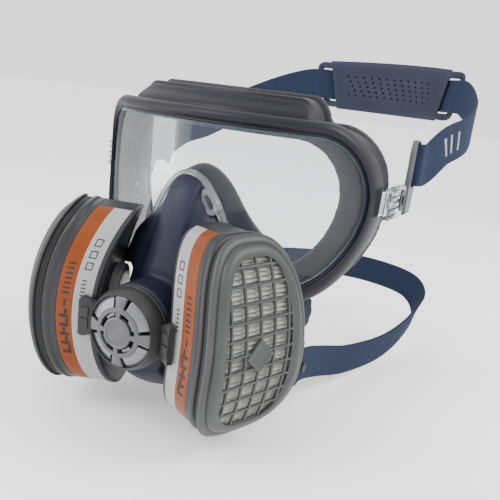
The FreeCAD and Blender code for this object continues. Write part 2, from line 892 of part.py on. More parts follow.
def make_bracket(name, side):
    """The clear arm that carries the strap: a plate with gripping teeth and a pivot hole."""
    inner = ARM_INNER
    back = S["pivot_back"]
    height = S["pivot_height"]
    outline = [
        (plain(-5), height + 7.5),
        (back - 6, height + 8.5),
        (back + 5, height + 8.5),
        (back + 9.5, height + 4),
        (back + 9.5, height - 6),
        (back + 4, height - 9.5),
        (back - 8, height - 9.5),
        (plain(-5), height - 9),
    ]
    # the outline is drawn in the body's XY plane, which stands upright facing across
    upright = Rotation(Vector(0, 1, 0), Vector(0, 0, 1), Vector(1, 0, 0), "XYZ")
    plate = padded(
        "bracket_plate_" + name, outline, plain(ARM_THICKNESS),
        Placement(Vector(side * inner - (ARM_THICKNESS if side < 0 else 0), 0, 0), upright),
    )
    across = Vector(side * (inner - 1), mm("pivot_back"), mm("pivot_height"))
    hole = cylinder(
        "bracket_hole_" + name, S["pivot_radius"], plain(8), facing(across, Vector(side, 0, 0))
    )
    teeth = []
    for k in range(5):
        low = mm("pivot_height") - 7.5 + 3.4 * k
        start = inner + 3.4 if side > 0 else -inner - 5.2
        teeth.append(Part.makeBox(1.8, 11, 1.3, Vector(start, -4.5, low)))
    root = Part.makeBox(2.35, 9, 14, Vector(inner - 2.25 if side > 0 else -inner - 0.1, -4, 11))
    added = tool("bracket_teeth_" + name, Part.makeCompound(teeth + [root]))
    whole = fuse("bracket_whole_" + name, [plate, added])
    return cut("bracket_bored_" + name, whole, hole)


def make_pivot(name, side):
    """The dark boss on the buckle's tongue that turns in the clear arm's hole."""
    across = Vector(side * ARM_INNER, mm("pivot_back"), mm("pivot_height"))
    shank = S["pivot_radius"] - S["running_gap"]
    corners = [
        (plain(0), plain(-0.2)),
        (shank, plain(-0.2)),
        (shank, plain(ARM_THICKNESS + 0.2)),
        (shank - 0.6, plain(ARM_THICKNESS + 0.8)),
        (plain(1.6), plain(ARM_THICKNESS + 0.8)),
        (plain(1.6), plain(ARM_THICKNESS - 0.6)),
        (plain(0), plain(ARM_THICKNESS - 0.6)),
    ]
    boss = turned("bracket_pivot_" + name, corners, facing(across, Vector(side, 0, 0)))
    return keep(boss, "bracket_pivot_" + name)


def make_buckle(side):
    """The slide buckle: a plate with a window for the webbing and a tongue for the pivot."""
    thickness = 3.0
    inner = STRAP_ACROSS - 5.7
    front = BUCKLE_BACK - 14.5
    plate = Part.makeBox(thickness, 14.5, BUCKLE_TOP - BUCKLE_LOW, Vector(inner, front, BUCKLE_LOW))
    window_low = WINDOW_HEIGHT - mm("webbing_width") / 2 - 0.6
    window = Part.makeBox(20, 7.2, mm("webbing_width") + 1.2, Vector(inner - 8, 35.2, window_low))
    low = mm("pivot_height") - 8
    across = inner - TONGUE_INNER + thickness
    heel = Part.makeBox(across, 3.4, 13, Vector(TONGUE_INNER, front, low))
    tongue_front = mm("pivot_back") - 6.5
    tongue_depth = ARM_INNER - 0.2 - TONGUE_INNER
    reach = front + 1 - tongue_front
    tongue = Part.makeBox(tongue_depth, reach, 13, Vector(TONGUE_INNER, tongue_front, low))
    shape = plate.cut(window).fuse([heel, tongue]).removeSplitter()
    if side < 0:
        shape = shape.mirror(Vector(0, 0, 0), Vector(1, 0, 0))
    return placed(shape, buckle_turn(side))


NECK_PIN_BACK = -21.0
NECK_PIN_HEIGHT = -80.0

# The neck strap's middle line and its lean, from the right anchor round the neck to the left one.
NECK_RUN = [
    ((64.1, -27, -80), 0), ((64.1, -14, -80.5), 0), ((66.5, 10, -87), 0), ((74, 40, -94), 0),
    ((86, 82, -96), 6),
    ((95, 114, -88), 14), ((98, 136, -75), 20), ((88, 149, -66), 14), ((66, 153, -62), 6),
    ((34, 152, -61), 0), ((-4, 146, -64), 0), ((-44, 130, -70), 0), ((-70, 98, -76), 0),
    ((-77, 55, -80), 0), ((-70.4, 15, -80), 0), ((-64.7, -14, -80), 0), ((-64.3, -27, -80), 0),
]


def make_neck_strap():
    """The lower webbing, an open loop round the back of the neck."""
    points = [Vector(*point) for point, _ in NECK_RUN]
    twists = [lean for _, lean in NECK_RUN]
    strap = band(points, mm("neck_webbing_width"), twists)
    for side in SIDES.values():
        strap = strap.cut(neck_pin(side, mm("neck_pin_radius") + mm("running_gap")))
    feature("neck_strap", strap)


def neck_pin(side, radius):
    """A pin across the mask that a neck strap's end turns on."""
    start = Vector(side * 62.5, NECK_PIN_BACK, NECK_PIN_HEIGHT)
    return Part.makeCylinder(radius, 4.4, start, Vector(side, 0, 0))


def make_neck_anchor(name, side, facepiece_outer):
    """The arm and plate on the cheek of the facepiece, with the pin for the neck strap."""
    arm = Part.makeBox(21, 12, 12, Vector(40, NECK_PIN_BACK - 6, NECK_PIN_HEIGHT + 4))
    plate = Part.makeBox(2.8, 13, 24, Vector(60.2, NECK_PIN_BACK - 6.5, NECK_PIN_HEIGHT - 11))
    shape = arm.fuse(plate)
    if side < 0:
        shape = shape.mirror(Vector(0, 0, 0), Vector(1, 0, 0))
    shape = shape.fuse(neck_pin(side, mm("neck_pin_radius"))).cut(facepiece_outer)
    feature("neck_strap_anchor_" + name, shape.removeSplitter())


# ---------------------------------------------------------------- assembly


def build():
    """Makes every sub-part."""
    outer = cup_outer()
    make_facepiece(outer)
    make_goggles(outer)
    make_exhalation_valve()
    make_filter_yoke()
    for name, side in SIDES.items():
        make_filter(name, side)
        make_inhalation_valve(name, side)
        make_retaining_tab(name, side)
        keep(make_bracket(name, side), "strap_bracket_" + name)
        make_pivot(name, side)
        feature("strap_buckle_" + name, make_buckle(side))
        make_neck_anchor(name, side, outer)
    make_upper_strap()
    make_head_pad()
    make_neck_strap()


def check_and_write():
    """Stops on any failed object or bad shape, then writes one file for each sub-part."""
    doc.recompute()
    for obj in doc.Objects:
        if "Invalid" in obj.State or "Error" in obj.State:
            raise RuntimeError(f"{obj.Name} is {obj.State}")
    os.makedirs("parts", exist_ok=True)
    for obj in subparts:
        shape = obj.Shape
        if shape.isNull() or not shape.isValid() or not shape.Solids:
            raise RuntimeError(f"{obj.Label} has no valid solid")
        shape.exportStep(os.path.join("parts", obj.Label + ".step"))
        box = shape.BoundBox
        print(
            f"{obj.Label:24s} solids {len(shape.Solids)} volume {shape.Volume:9.0f}"
            f" x {box.XMin:7.1f} {box.XMax:7.1f} y {box.YMin:7.1f} {box.YMax:7.1f}"
            f" z {box.ZMin:7.1f} {box.ZMax:7.1f}"
        )


build()
check_and_write()
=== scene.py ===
"""Looks of a half-mask respirator with goggles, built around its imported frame.

Sizes are in millimetres and are turned into metres when a mesh is made.
+X is the right-hand side seen from the front, the front faces -Y, and +Z is up.
"""

import math

import bmesh
import bpy
from mathutils import Matrix, Vector


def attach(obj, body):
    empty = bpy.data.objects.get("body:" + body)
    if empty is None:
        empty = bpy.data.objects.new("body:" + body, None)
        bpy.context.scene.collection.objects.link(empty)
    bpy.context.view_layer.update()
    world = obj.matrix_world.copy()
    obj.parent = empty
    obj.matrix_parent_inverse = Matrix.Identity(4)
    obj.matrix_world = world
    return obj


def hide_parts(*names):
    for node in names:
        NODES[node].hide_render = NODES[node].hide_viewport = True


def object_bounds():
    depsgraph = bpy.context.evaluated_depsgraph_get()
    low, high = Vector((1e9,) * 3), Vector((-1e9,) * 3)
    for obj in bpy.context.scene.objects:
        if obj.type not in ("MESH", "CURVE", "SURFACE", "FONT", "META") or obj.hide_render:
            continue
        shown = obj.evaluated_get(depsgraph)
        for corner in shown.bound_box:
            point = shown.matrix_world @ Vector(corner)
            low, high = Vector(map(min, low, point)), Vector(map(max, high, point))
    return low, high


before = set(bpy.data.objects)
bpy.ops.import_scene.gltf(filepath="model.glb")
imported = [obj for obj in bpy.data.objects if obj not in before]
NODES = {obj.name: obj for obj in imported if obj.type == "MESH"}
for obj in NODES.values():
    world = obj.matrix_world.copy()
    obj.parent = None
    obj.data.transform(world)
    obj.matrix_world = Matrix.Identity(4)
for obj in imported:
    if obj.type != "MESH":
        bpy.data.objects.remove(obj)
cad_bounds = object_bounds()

MM = 0.001
SIDES = {"right": 1, "left": -1}


# ---------------------------------------------------------------- camera, light and floor


CAMERA_PLACE = (0.16732, -0.32275, 0.06645)
CAMERA_RIGHT = Vector((0.88263, 0.45445, 0.12015))
CAMERA_UP = Vector((-0.21846, 0.17026, 0.96088))
FLOOR_GAP = 0.004
FLOOR_HALF = 8.0


def put_in_scene(name, data):
    """A new object, linked into the scene."""
    obj = bpy.data.objects.new(name, data)
    bpy.context.scene.collection.objects.link(obj)
    return obj


def make_camera():
    """A camera low to the right of the mask, tipped a little."""
    data = bpy.data.cameras.new("camera")
    data.lens = 43.04
    data.sensor_width = 36
    camera = put_in_scene("camera", data)
    back = CAMERA_RIGHT.cross(CAMERA_UP)
    turn = Matrix((CAMERA_RIGHT, CAMERA_UP, back)).transposed().to_4x4()
    camera.matrix_world = Matrix.Translation(CAMERA_PLACE) @ turn
    bpy.context.scene.camera = camera


def make_area_light(name, place, power, size):
    """A soft square light aimed at the origin."""
    data = bpy.data.lights.new(name, "AREA")
    data.energy = power
    data.size = size
    light = put_in_scene(name, data)
    light.location = place
    light.rotation_euler = Vector(place).to_track_quat("Z", "Y").to_euler()


def make_studio():
    """White surroundings, three soft lights and a pale floor."""
    world = bpy.data.worlds.new("studio")
    world.use_nodes = True
    background = world.node_tree.nodes["Background"]
    background.inputs["Color"].default_value = (1.0, 1.0, 1.0, 1)
    background.inputs["Strength"].default_value = 1.7
    bpy.context.scene.world = world
    make_area_light("key", (-0.45, -0.75, 0.75), 7, 0.5)
    make_area_light("rim", (0.7, 0.1, 0.6), 6, 0.4)
    make_area_light("fill", (-0.75, -0.6, 0.12), 4, 0.6)

    low = cad_bounds[0][2] - FLOOR_GAP
    corners = [(FLOOR_HALF * x, FLOOR_HALF * y, low) for x, y in ((-1, -1), (1, -1), (1, 1), (-1, 1))]
    mesh = bpy.data.meshes.new("floor")
    mesh.from_pydata(corners, [], [(0, 1, 2, 3)])
    mesh.materials.append(make_floor_material())
    put_in_scene("floor", mesh)


# ---------------------------------------------------------------- materials


class Paint:
    """A procedural material: a principled shader with helpers that add nodes to it."""

    def __init__(self, name, roughness=0.5):
        self.material = bpy.data.materials.new(name)
        self.material.use_nodes = True
        self.tree = self.material.node_tree
        self.shader = self.tree.nodes["Principled BSDF"]
        self.shader.inputs["Roughness"].default_value = roughness

    def add(self, kind, **settings):
        """A new node; each setting goes to the input or the property of that name."""
        node = self.tree.nodes.new(kind)
        for key, value in settings.items():
            if key in node.inputs:
                self.feed(node.inputs[key], value)
            else:
                setattr(node, key, value)
        return node

    def feed(self, socket, value):
        """Links a socket to a node's output, or sets its value."""
        if isinstance(value, bpy.types.NodeSocket):
            self.tree.links.new(value, socket)
        else:
            socket.default_value = value

    def maths(self, operation, first, second):
        """The result of one sum on two values."""
        node = self.add("ShaderNodeMath", operation=operation)
        self.feed(node.inputs[0], first)
        self.feed(node.inputs[1], second)
        return node.outputs[0]

    def noise(self, scale, detail=3.0):
        """Soft noise in object space, whose grain is about 1/scale millimetres."""
        place = self.add("ShaderNodeVectorMath", operation="SCALE", Scale=1 / MM)
        self.feed(place.inputs[0], self.add("ShaderNodeTexCoord").outputs["Object"])
        noise = self.add("ShaderNodeTexNoise", Scale=scale, Detail=detail)
        self.feed(noise.inputs["Vector"], place.outputs["Vector"])
        return noise.outputs["Fac"]

    def ramp(self, value, *stops):
        """A colour that runs between two (position, colour) stops."""
        node = self.add("ShaderNodeValToRGB", Fac=value)
        elements = node.color_ramp.elements
        for element, (at, colour) in zip(elements, stops):
            element.position = at
            element.color = tuple(colour) + (1,)
        return node.outputs["Color"]

    def between(self, value, low, high):
        """A value from 0 to 1 spread over a range."""
        node = self.add("ShaderNodeMapRange", **{"Value": value, "To Min": low, "To Max": high})
        return node.outputs["Result"]

    def mix(self, share, first, second, kind="MIX"):
        """Two colours mixed, or the first one multiplied by the second."""
        node = self.add("ShaderNodeMix", data_type="RGBA", blend_type=kind)
        self.feed(node.inputs["Factor"], share)
        sockets = [s for s in node.inputs if s.type == "RGBA"]
        for socket, value in zip(sockets, (first, second)):
            self.feed(socket, value if isinstance(value, bpy.types.NodeSocket) else tuple(value) + (1,))
        return [s for s in node.outputs if s.type == "RGBA"][0]

    def blend(self, share, first, second):
        """Two shaders mixed."""
        node = self.add("ShaderNodeMixShader", Fac=share)
        self.feed(node.inputs[1], first.outputs[0])
        self.feed(node.inputs[2], second.outputs[0])
        return node

    def bump(self, height, strength, distance):
        """Fine relief, with its depth in metres."""
        node = self.add("ShaderNodeBump", Strength=strength, Distance=distance, Height=height)
        self.feed(self.shader.inputs["Normal"], node.outputs["Normal"])

    def set(self, **values):
        """Inputs of the principled shader, with underscores for spaces."""
        for key, value in values.items():
            self.feed(self.shader.inputs[key.replace("_", " ")], value)


def shades(base, spread):
    """A darker and a lighter version of a colour."""
    return [tuple(c * (1 - spread) for c in base), tuple(min(1, c * (1 + spread)) for c in base)]


def moulded(
    name, base, roughness, grain=2.5, spread=0.12, bump=0.12, coat=0.0, gleam=0.3, wear=0.35
):
    """Moulded plastic or rubber: faint mottling, handled patches and a fine skin texture."""
    paint = Paint(name, roughness)
    dark, light = shades(base, spread)
    cloudy = paint.ramp(paint.noise(0.06), (0.3, dark), (0.7, light))
    pointiness = paint.add("ShaderNodeNewGeometry").outputs["Pointiness"]
    edge = paint.ramp(pointiness, (0.49, (0, 0, 0)), (0.56, (wear, wear, wear)))
    worn = paint.mix(edge, cloudy, tuple(min(1, c * 1.7 + 0.01) for c in base))
    gloss = paint.between(paint.noise(0.12), roughness - 0.07, roughness + 0.09)
    paint.set(Base_Color=worn, Roughness=gloss, Specular_IOR_Level=gleam)
    paint.set(Coat_Weight=coat, Coat_Roughness=0.25)
    paint.bump(paint.noise(grain, 2.0), bump, 0.0001)
    return paint.material


def make_floor_material():
    """A very pale floor with the faintest unevenness, which also shines a little by itself."""
    paint = Paint("studio_floor", 0.75)
    shade = paint.ramp(paint.noise(0.01), (0.3, (0.93, 0.93, 0.93)), (0.7, (0.96, 0.96, 0.96)))
    paint.set(Base_Color=shade, Emission_Color=shade, Emission_Strength=0.25)
    paint.material.cycles.emission_sampling = "NONE"
    return paint.material


def clear(name, tint, haze, gloss, body=0.0, body_colour=(0.8, 0.82, 0.84), shine=1.0):
    """Clear plastic: light goes straight through, with a reflection that grows at the edge."""
    paint = Paint(name)
    tree = paint.tree
    tree.nodes.remove(paint.shader)
    through = paint.add("ShaderNodeBsdfTransparent", Color=tuple(tint) + (1,))
    mirror = paint.add("ShaderNodeBsdfGlossy", Color=(1, 1, 1, 1), Roughness=gloss)
    milk = paint.add("ShaderNodeBsdfDiffuse", Color=tuple(body_colour) + (1,))
    cloud = paint.between(paint.noise(0.08), body + haze * 0.3, body + haze)
    fresnel = paint.add("ShaderNodeFresnel", IOR=1.5)
    edge = paint.maths("MULTIPLY", fresnel.outputs[0], shine)
    both = paint.blend(edge, paint.blend(cloud, through, milk), mirror)
    tree.links.new(both.outputs[0], tree.nodes["Material Output"].inputs["Surface"])
    return paint.material


THREAD_ALONG = 1.7
THREAD_ACROSS = 1.25


def webbing(name, base):
    """Woven elastic webbing: the UV map runs in millimetres along and across the strap."""
    paint = Paint(name, 0.85)
    split = paint.add("ShaderNodeSeparateXYZ", Vector=paint.add("ShaderNodeUVMap").outputs["UV"])
    along, across = (
        paint.maths("SINE", paint.maths("MULTIPLY", split.outputs[axis], math.tau / pitch), 0.0)
        for axis, pitch in (("X", THREAD_ALONG), ("Y", THREAD_ACROSS))
    )
    weave = paint.maths("MULTIPLY", along, across)
    ribs = paint.maths("ADD", weave, paint.maths("MULTIPLY", along, 0.5))
    height = paint.maths("ADD", paint.maths("MULTIPLY", ribs, 0.3), 0.5)
    dark, light = shades(base, 0.55)
    thread = paint.ramp(height, (0.1, dark), (0.9, light))
    fuzz = paint.ramp(paint.noise(0.5), (0.3, (0.85, 0.85, 0.85)), (0.8, (1.15, 1.15, 1.2)))
    paint.set(Base_Color=paint.mix(1.0, thread, fuzz, "MULTIPLY"))
    paint.set(Sheen_Weight=0.02, Sheen_Roughness=0.5, Specular_IOR_Level=0.08)
    paint.bump(height, 0.6, 0.0003)
    return paint.material


NAVY_RUBBER = moulded("navy_rubber", (0.0105, 0.0115, 0.026), 0.46, spread=0.15, coat=0.03, gleam=0.2)
PLUM_RUBBER = moulded(
    "plum_rubber", (0.0085, 0.0080, 0.0130), 0.42, spread=0.12, coat=0.03, gleam=0.2, wear=0.15
)
SEAL_RUBBER = moulded("seal_rubber", (0.020, 0.0195, 0.023), 0.50, spread=0.10, bump=0.04, wear=0.0)
INNER_RUBBER = moulded("inner_rubber", (0.085, 0.087, 0.098), 0.40, spread=0.10, bump=0.04, wear=0.0)
CASING_GREY = moulded("casing_grey", (0.017, 0.0172, 0.0195), 0.36, spread=0.08, bump=0.08)
COVER_GREY = moulded("cover_grey", (0.038, 0.039, 0.039), 0.40, spread=0.10, bump=0.18, grain=3.5)
CAP_GREY = moulded("cap_grey", (0.060, 0.060, 0.064), 0.34, spread=0.10, bump=0.15, grain=3.0, gleam=0.5)
# Painted shade: a darker copy of the valve cap's grey for the cap's side wall.
CAP_SIDE_SHADE = moulded("cap_side_painted_shade", (0.020, 0.0205, 0.0200), 0.42, spread=0.10, bump=0.12)
TAB_GREY = moulded("tab_grey", (0.016, 0.016, 0.017), 0.34, spread=0.10, bump=0.10)
MARK_GREY = moulded("mark_grey", (0.20, 0.21, 0.25), 0.7, spread=0.10, bump=0.3)
PETAL_GREY = moulded("petal_grey", (0.10, 0.10, 0.11), 0.18, spread=0.18, bump=0.03, coat=0.5, gleam=0.7)
# Black rubber of the gaskets, yoke and anchors, also used as painted shade inside the valve cap.
BLACK_RUBBER_AND_HOLLOW_SHADE = moulded("black_rubber_and_hollow_shade", (0.004, 0.004, 0.0045), 0.50, spread=0.2)
BUCKLE_GREY = moulded("buckle_grey", (0.060, 0.063, 0.070), 0.36, spread=0.08, bump=0.10)
# Dark grey of the pivots, also used as painted shade for the nose clip's slot.
PIVOT_GREY_AND_SLOT_SHADE = moulded("pivot_grey_and_slot_shade", (0.016, 0.016, 0.018), 0.38, spread=0.1)
PAD_NAVY = moulded("pad_navy", (0.017, 0.0205, 0.038), 0.60, spread=0.10, bump=0.25, grain=2.0, gleam=0.2)
PRINT_WHITE = moulded("print_white", (0.22, 0.22, 0.225), 0.30, spread=0.05, bump=0.03, coat=0.2)
PRINT_ORANGE = moulded(
    "print_orange", (0.130, 0.024, 0.0008), 0.32, spread=0.14, bump=0.03, coat=0.04, gleam=0.2
)
PRINT_INK = moulded("print_ink", (0.012, 0.010, 0.010), 0.45, spread=0.2)
PLEAT_WHITE = moulded("pleat_white", (0.36, 0.36, 0.35), 0.85, spread=0.14, bump=0.5, grain=3.0, gleam=0.1)
CARBON_BLACK = moulded("carbon_black", (0.008, 0.008, 0.008), 0.7, bump=0.8, grain=1.2)
SILICONE = moulded("silicone", (0.36, 0.34, 0.31), 0.35, spread=0.08)
THREAD = moulded("thread", (0.035, 0.05, 0.10), 0.8, spread=0.2, bump=0.3)
LENS_CLEAR = clear("lens_clear", (0.93, 0.945, 0.955), haze=0.015, gloss=0.03, shine=0.22)
# Painted shade: a dark blue-green band standing in for the shade in the groove between lens and frame, its
# tint standing in for the glint there.
GROOVE_SHADE_PAINT = moulded("painted_groove_shade", (0.010, 0.030, 0.045), 0.20, spread=0.3, bump=0.02, coat=0.6)
ARM_CLEAR = clear(
    "arm_clear", (0.86, 0.88, 0.90), haze=0.10, gloss=0.06, body=0.10, body_colour=(0.45, 0.47, 0.5)
)
# Painted highlight: the pegs are painted pale to stand in for the glints seen on them.
PEG_GLINT_PAINT = moulded("painted_peg_glint", (0.75, 0.75, 0.76), 0.35, spread=0.05, bump=0.03)
RIM_CLEAR = clear(
    "rim_clear", (0.80, 0.82, 0.86), haze=0.12, gloss=0.08, body=0.18, body_colour=(0.42, 0.44, 0.47)
)
WEBBING_NAVY = webbing("webbing_navy", (0.0175, 0.0255, 0.050))


# ---------------------------------------------------------------- mesh helpers


def piece(name, points, faces, material, body, slot, uvs=None, crease_angle=35):
    """A mesh in millimetres that rides on a body and has the given material; its slot is not used."""
    mesh = bpy.data.meshes.new(name)
    mesh.from_pydata([Vector(p) * MM for p in points], [], faces)
    if uvs is not None:
        layer = mesh.uv_layers.new(name="UVMap")
        for loop in mesh.loops:
            layer.data[loop.index].uv = uvs[loop.vertex_index]
    mesh.validate()
    clean(mesh)
    obj = put_in_scene(name, mesh)
    mesh.materials.append(material)
    mesh.shade_smooth()
    mesh.set_sharp_from_angle(angle=math.radians(crease_angle))
    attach(obj, body)
    return obj


def clean(mesh, weld=None):
    """Turns the faces outwards, after joining vertices nearer than a distance in millimetres."""
    shell = bmesh.new()
    shell.from_mesh(mesh)
    if weld is not None:
        bmesh.ops.remove_doubles(shell, verts=shell.verts, dist=weld * MM)
    bmesh.ops.recalc_face_normals(shell, faces=shell.faces)
    shell.to_mesh(mesh)
    shell.free()


def strip(rings, around=True, along=False, caps=False):
    """Quads between rings of equal length; returns the points and the faces."""
    count = len(rings[0])
    points = [p for ring in rings for p in ring]
    faces = []
    spans = len(rings) if along else len(rings) - 1
    for r in range(spans):
        base = r * count
        after = ((r + 1) % len(rings)) * count
        for i in range(count if around else count - 1):
            j = (i + 1) % count
            faces.append((base + i, base + j, after + j, after + i))
    if caps:
        faces.append(tuple(range(count))[::-1])
        faces.append(tuple(range(len(points) - count, len(points))))
    return points, faces


def join(parts):
    """Several (points, faces) lists as one."""
    points, faces = [], []
    for some_points, some_faces in parts:
        shift = len(points)
        points += [tuple(p) for p in some_points]
        faces += [tuple(i + shift for i in face) for face in some_faces]
    return points, faces


def moved(part, matrix):
    """A (points, faces) pair with its points moved by a matrix in millimetres."""
    return [matrix @ Vector(p) for p in part[0]], part[1]


def angles(count, start=0.0, sweep=math.tau):
    """Evenly spread angles."""
    return [start + sweep * i / count for i in range(count)]


def smoothstep(start, end, value):
    """0 before start, 1 after end and smooth between; start may be above end."""
    t = min(1, max(0, (value - start) / (end - start)))
    return t * t * (3 - 2 * t)


def bell(value, centre, width):
    """A smooth bump of height one."""
    return math.exp(-((value - centre) / width) ** 2)


def block(size, edge):
    """A box with chamfered edges: two outlines drawn in at each end."""
    sx, sy, sz = (s / 2 for s in size)
    rings = []
    for z, inset in ((-sz, edge), (-sz + edge, 0), (sz - edge, 0), (sz, edge)):
        x, y = sx - inset, sy - inset
        xc, yc = x - edge, y - edge
        corners = ((x, -yc), (x, yc), (xc, y), (-xc, y), (-x, yc), (-x, -yc), (-xc, -y), (xc, -y))
        rings.append([(a, b, z) for a, b in corners])
    return strip(rings, caps=True)


def evenly(points, count):
    """A closed outline resampled to a number of evenly spaced points."""
    lengths = [0.0]
    for a, b in zip(points, points[1:] + points[:1]):
        lengths.append(lengths[-1] + math.dist(a, b))
    total = lengths[-1]
    result = []
    k = 0
    for i in range(count):
        want = total * i / count
        while lengths[k + 1] < want:
            k += 1
        share = (want - lengths[k]) / max(lengths[k + 1] - lengths[k], 1e-9)
        a, b = points[k], points[(k + 1) % len(points)]
        result.append(tuple(u + (v - u) * share for u, v in zip(a, b)))
    return result


def through(points, steps):
    """A smooth open line through points (Catmull-Rom), with a number of steps between them."""
    line = []
    last = len(points) - 1
    for i in range(last):
        p0, p1, p2, p3 = points[max(i - 1, 0)], points[i], points[i + 1], points[min(i + 2, last)]
        for s in range(steps):
            t = s / steps
            bend = 2 * p0 - 5 * p1 + 4 * p2 - p3
            twist = 3 * p1 - p0 - 3 * p2 + p3
            line.append(0.5 * (2 * p1 + (p2 - p0) * t + bend * t * t + twist * t ** 3))
    line.append(points[last].copy())
    return line


def heading(line, i):
    """Which way a line of points runs at one of them."""
    return (line[min(i + 1, len(line) - 1)] - line[max(i - 1, 0)]).normalized()


def softened(node, name, voxel, rounds, material, keep, shape=None, inner=None):
    """A CAD node of the mask remade with soft edges; inner is for faces that look inwards."""
    obj = put_in_scene(name, NODES[node].data.copy())
    remesh = obj.modifiers.new("remesh", "REMESH")
    remesh.mode = "VOXEL"
    remesh.voxel_size = voxel * MM
    smooth = obj.modifiers.new("smooth", "SMOOTH")
    smooth.factor = 0.5
    smooth.iterations = rounds
    settle(obj)
    if shape is not None:
        shape(obj.data)
    fewer = obj.modifiers.new("fewer", "DECIMATE")
    fewer.ratio = keep
    settle(obj)
    dress(obj, material)
    if inner is not None:
        obj.data.materials.append(inner)
        for face in obj.data.polygons:
            face.material_index = int(looks_inwards(face))
    obj.data.shade_smooth()
    stand_in(obj, node)


def stand_in(obj, node):
    """Puts a remade node on the mask, in place of its CAD shape."""
    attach(obj, "mask")
    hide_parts(node)


def looks_inwards(face):
    """Whether a face of the goggles is on the inside of their hollow."""
    x, _, z = (c / MM for c in face.center)
    n = face.normal
    inwards = n.x * x + n.z * (z - 10) < 15 * max(0, n.y)
    hollow = (x / 84.0) ** 4 + ((z - 10) / 41.5) ** 4 < 1
    return hollow and (inwards or n.y < -0.3)


def settle(obj):
    """Applies an object's modifiers to its mesh."""
    bpy.context.view_layer.update()
    graph = bpy.context.evaluated_depsgraph_get()
    mesh = bpy.data.meshes.new_from_object(obj.evaluated_get(graph))
    obj.modifiers.clear()
    obj.data = mesh


def bevelled(node, name, width, material):
    """A flat-sided CAD node of the mask with its edges broken; it stands for that node."""
    obj = put_in_scene(name, NODES[node].data.copy())
    weld = obj.modifiers.new("weld", "WELD")
    weld.merge_threshold = 0.01 * MM
    bevel = obj.modifiers.new("bevel", "BEVEL")
    bevel.width = width * MM
    bevel.segments = 2
    bevel.limit_method = "ANGLE"
    bevel.angle_limit = math.radians(50)
    settle(obj)
    dress(obj, material)
    obj.data.shade_smooth()
    obj.data.set_sharp_from_angle(angle=math.radians(40))
    stand_in(obj, node)


def dress(obj, material):
    """One material for a whole object."""
    obj.data.materials.clear()
    obj.data.materials.append(material)


# ---------------------------------------------------------------- outlines shared with the frame

# How far a curve's handles reach along the sides of a rounded corner.
ROUND = 0.5523


def curve(p0, p1, p2, p3, steps=24):
    """Points on a cubic curve, without its last one."""
    points = []
    for i in range(steps):
        t = i / steps
        u = 1 - t
        weights = (u ** 3, 3 * u * u * t, 3 * u * t * t, t ** 3)
        points.append(tuple(sum(w * c for w, c in zip(weights, axis)) for axis in zip(p0, p1, p2, p3)))
    return points


LENS_RADIUS = 106.6
LENS_AXIS_Y = 51.6
LENS_FOOT = -30.5
NOSE_FOOT = 43.5


def both_sides(half):
    """The right half of an outline, led by its mirror image."""
    return [(-x, z) for x, z in half[:0:-1]] + half


def lens_outline(across, up):
    """The lens edge grown across and up, from one side of the nose over the top to the other."""
    side, top, bottom = 84.5 + across, 50 + up, LENS_FOOT - up
    shoulder, corner_height, foot = 23 + across, 33 + up, 55 + across
    side_z = top - corner_height
    rise = side_z - bottom
    run = side - foot
    flat = side - shoulder
    half = [(flat * i / 16, top) for i in range(16)]
    bulge = side_z + ROUND * corner_height
    half += curve((flat, top), (flat + ROUND * shoulder, top), (side, bulge), (side, side_z))
    low = (foot + 0.55 * run, bottom + 0.05 * rise)
    half += curve((side, side_z), (side, side_z - 0.45 * rise), low, (foot, bottom), 34)
    half += [(foot, bottom), ((foot + NOSE_FOOT) / 2, bottom), (NOSE_FOOT, bottom)]
    return both_sides(half)


def arch_outline(grow):
    """The nose cut-out from its left foot over the top to its right foot."""
    foot = (40 + grow, LENS_FOOT)
    return both_sides(curve((0, 23 + grow), (17 + grow, 23 + grow), (22 + grow, -12), foot, 30) + [foot])


def on_lens(x, z, depth=0.0):
    """A point on the lens, or at a distance in front of its outer surface."""
    return (x, LENS_AXIS_Y - math.sqrt((LENS_RADIUS + depth) ** 2 - x * x), z)


# ---------------------------------------------------------------- goggles

BEZEL_SECTION = [
    (0.03, -1.2), (0.03, 0.5), (0.05, 0.9), (0.10, 1.1), (0.15, 1.05), (0.18, 0.85), (0.21, 0.85),
    (0.25, 1.25), (0.32, 1.85), (0.42, 2.3), (0.54, 2.45), (0.66, 2.3), (0.78, 1.8), (0.88, 0.95),
    (0.955, -0.2), (0.995, -1.6), (1.0, -3.2), (0.97, -4.5), (0.9, -5.0), (0.4, -5.0), (0.03, -4.6),
]


def make_bezel():
    """The rounded frame round the lens, open at the nose, with a fine lip along the glass."""
    rings = []
    for (xi, zi), (xo, zo) in zip(lens_outline(0, 0), lens_outline(5, 8)):
        rings.append([on_lens(xi + (xo - xi) * f, zi + (zo - zi) * f, d) for f, d in BEZEL_SECTION])
    part = strip(rings, caps=True)
    ring = piece("bezel_frame", *part, PLUM_RUBBER, "mask", "bezel_plastic", crease_angle=50)
    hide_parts("lens_bezel")


CLIP_CENTRE = (14.4, 10.4)
CLIP_LEAN = math.radians(-32)
CLIP_DROP = [(4.4 * math.cos(a) * (1 - 0.35 * math.sin(a)), 7.6 * math.sin(a)) for a in angles(28)]
CLIP_BODY = ((1.0, 1.0), (1.0, 3.4), (0.93, 4.0), (0.8, 4.2), (0.6, 3.8), (0.55, 3.2))
CLIP_SLOT = ((1.0, 3.25), (1.0, 3.9), (0.85, 4.1))


def clip_part(name, profile, wide, tall, material):
    """A leaning drop on the lens, through (share, depth) pairs."""
    rings = []
    for share, depth in profile:
        ring = []
        for a, b in CLIP_DROP:
            across, along = a * wide * share, b * tall * share
            x = CLIP_CENTRE[0] + across * math.cos(CLIP_LEAN) + along * math.sin(CLIP_LEAN)
            z = CLIP_CENTRE[1] - across * math.sin(CLIP_LEAN) + along * math.cos(CLIP_LEAN)
            ring.append(on_lens(x, z, depth))
        rings.append(ring)
    piece(name, *strip(rings, caps=True), material, "mask", "clear_plastic")


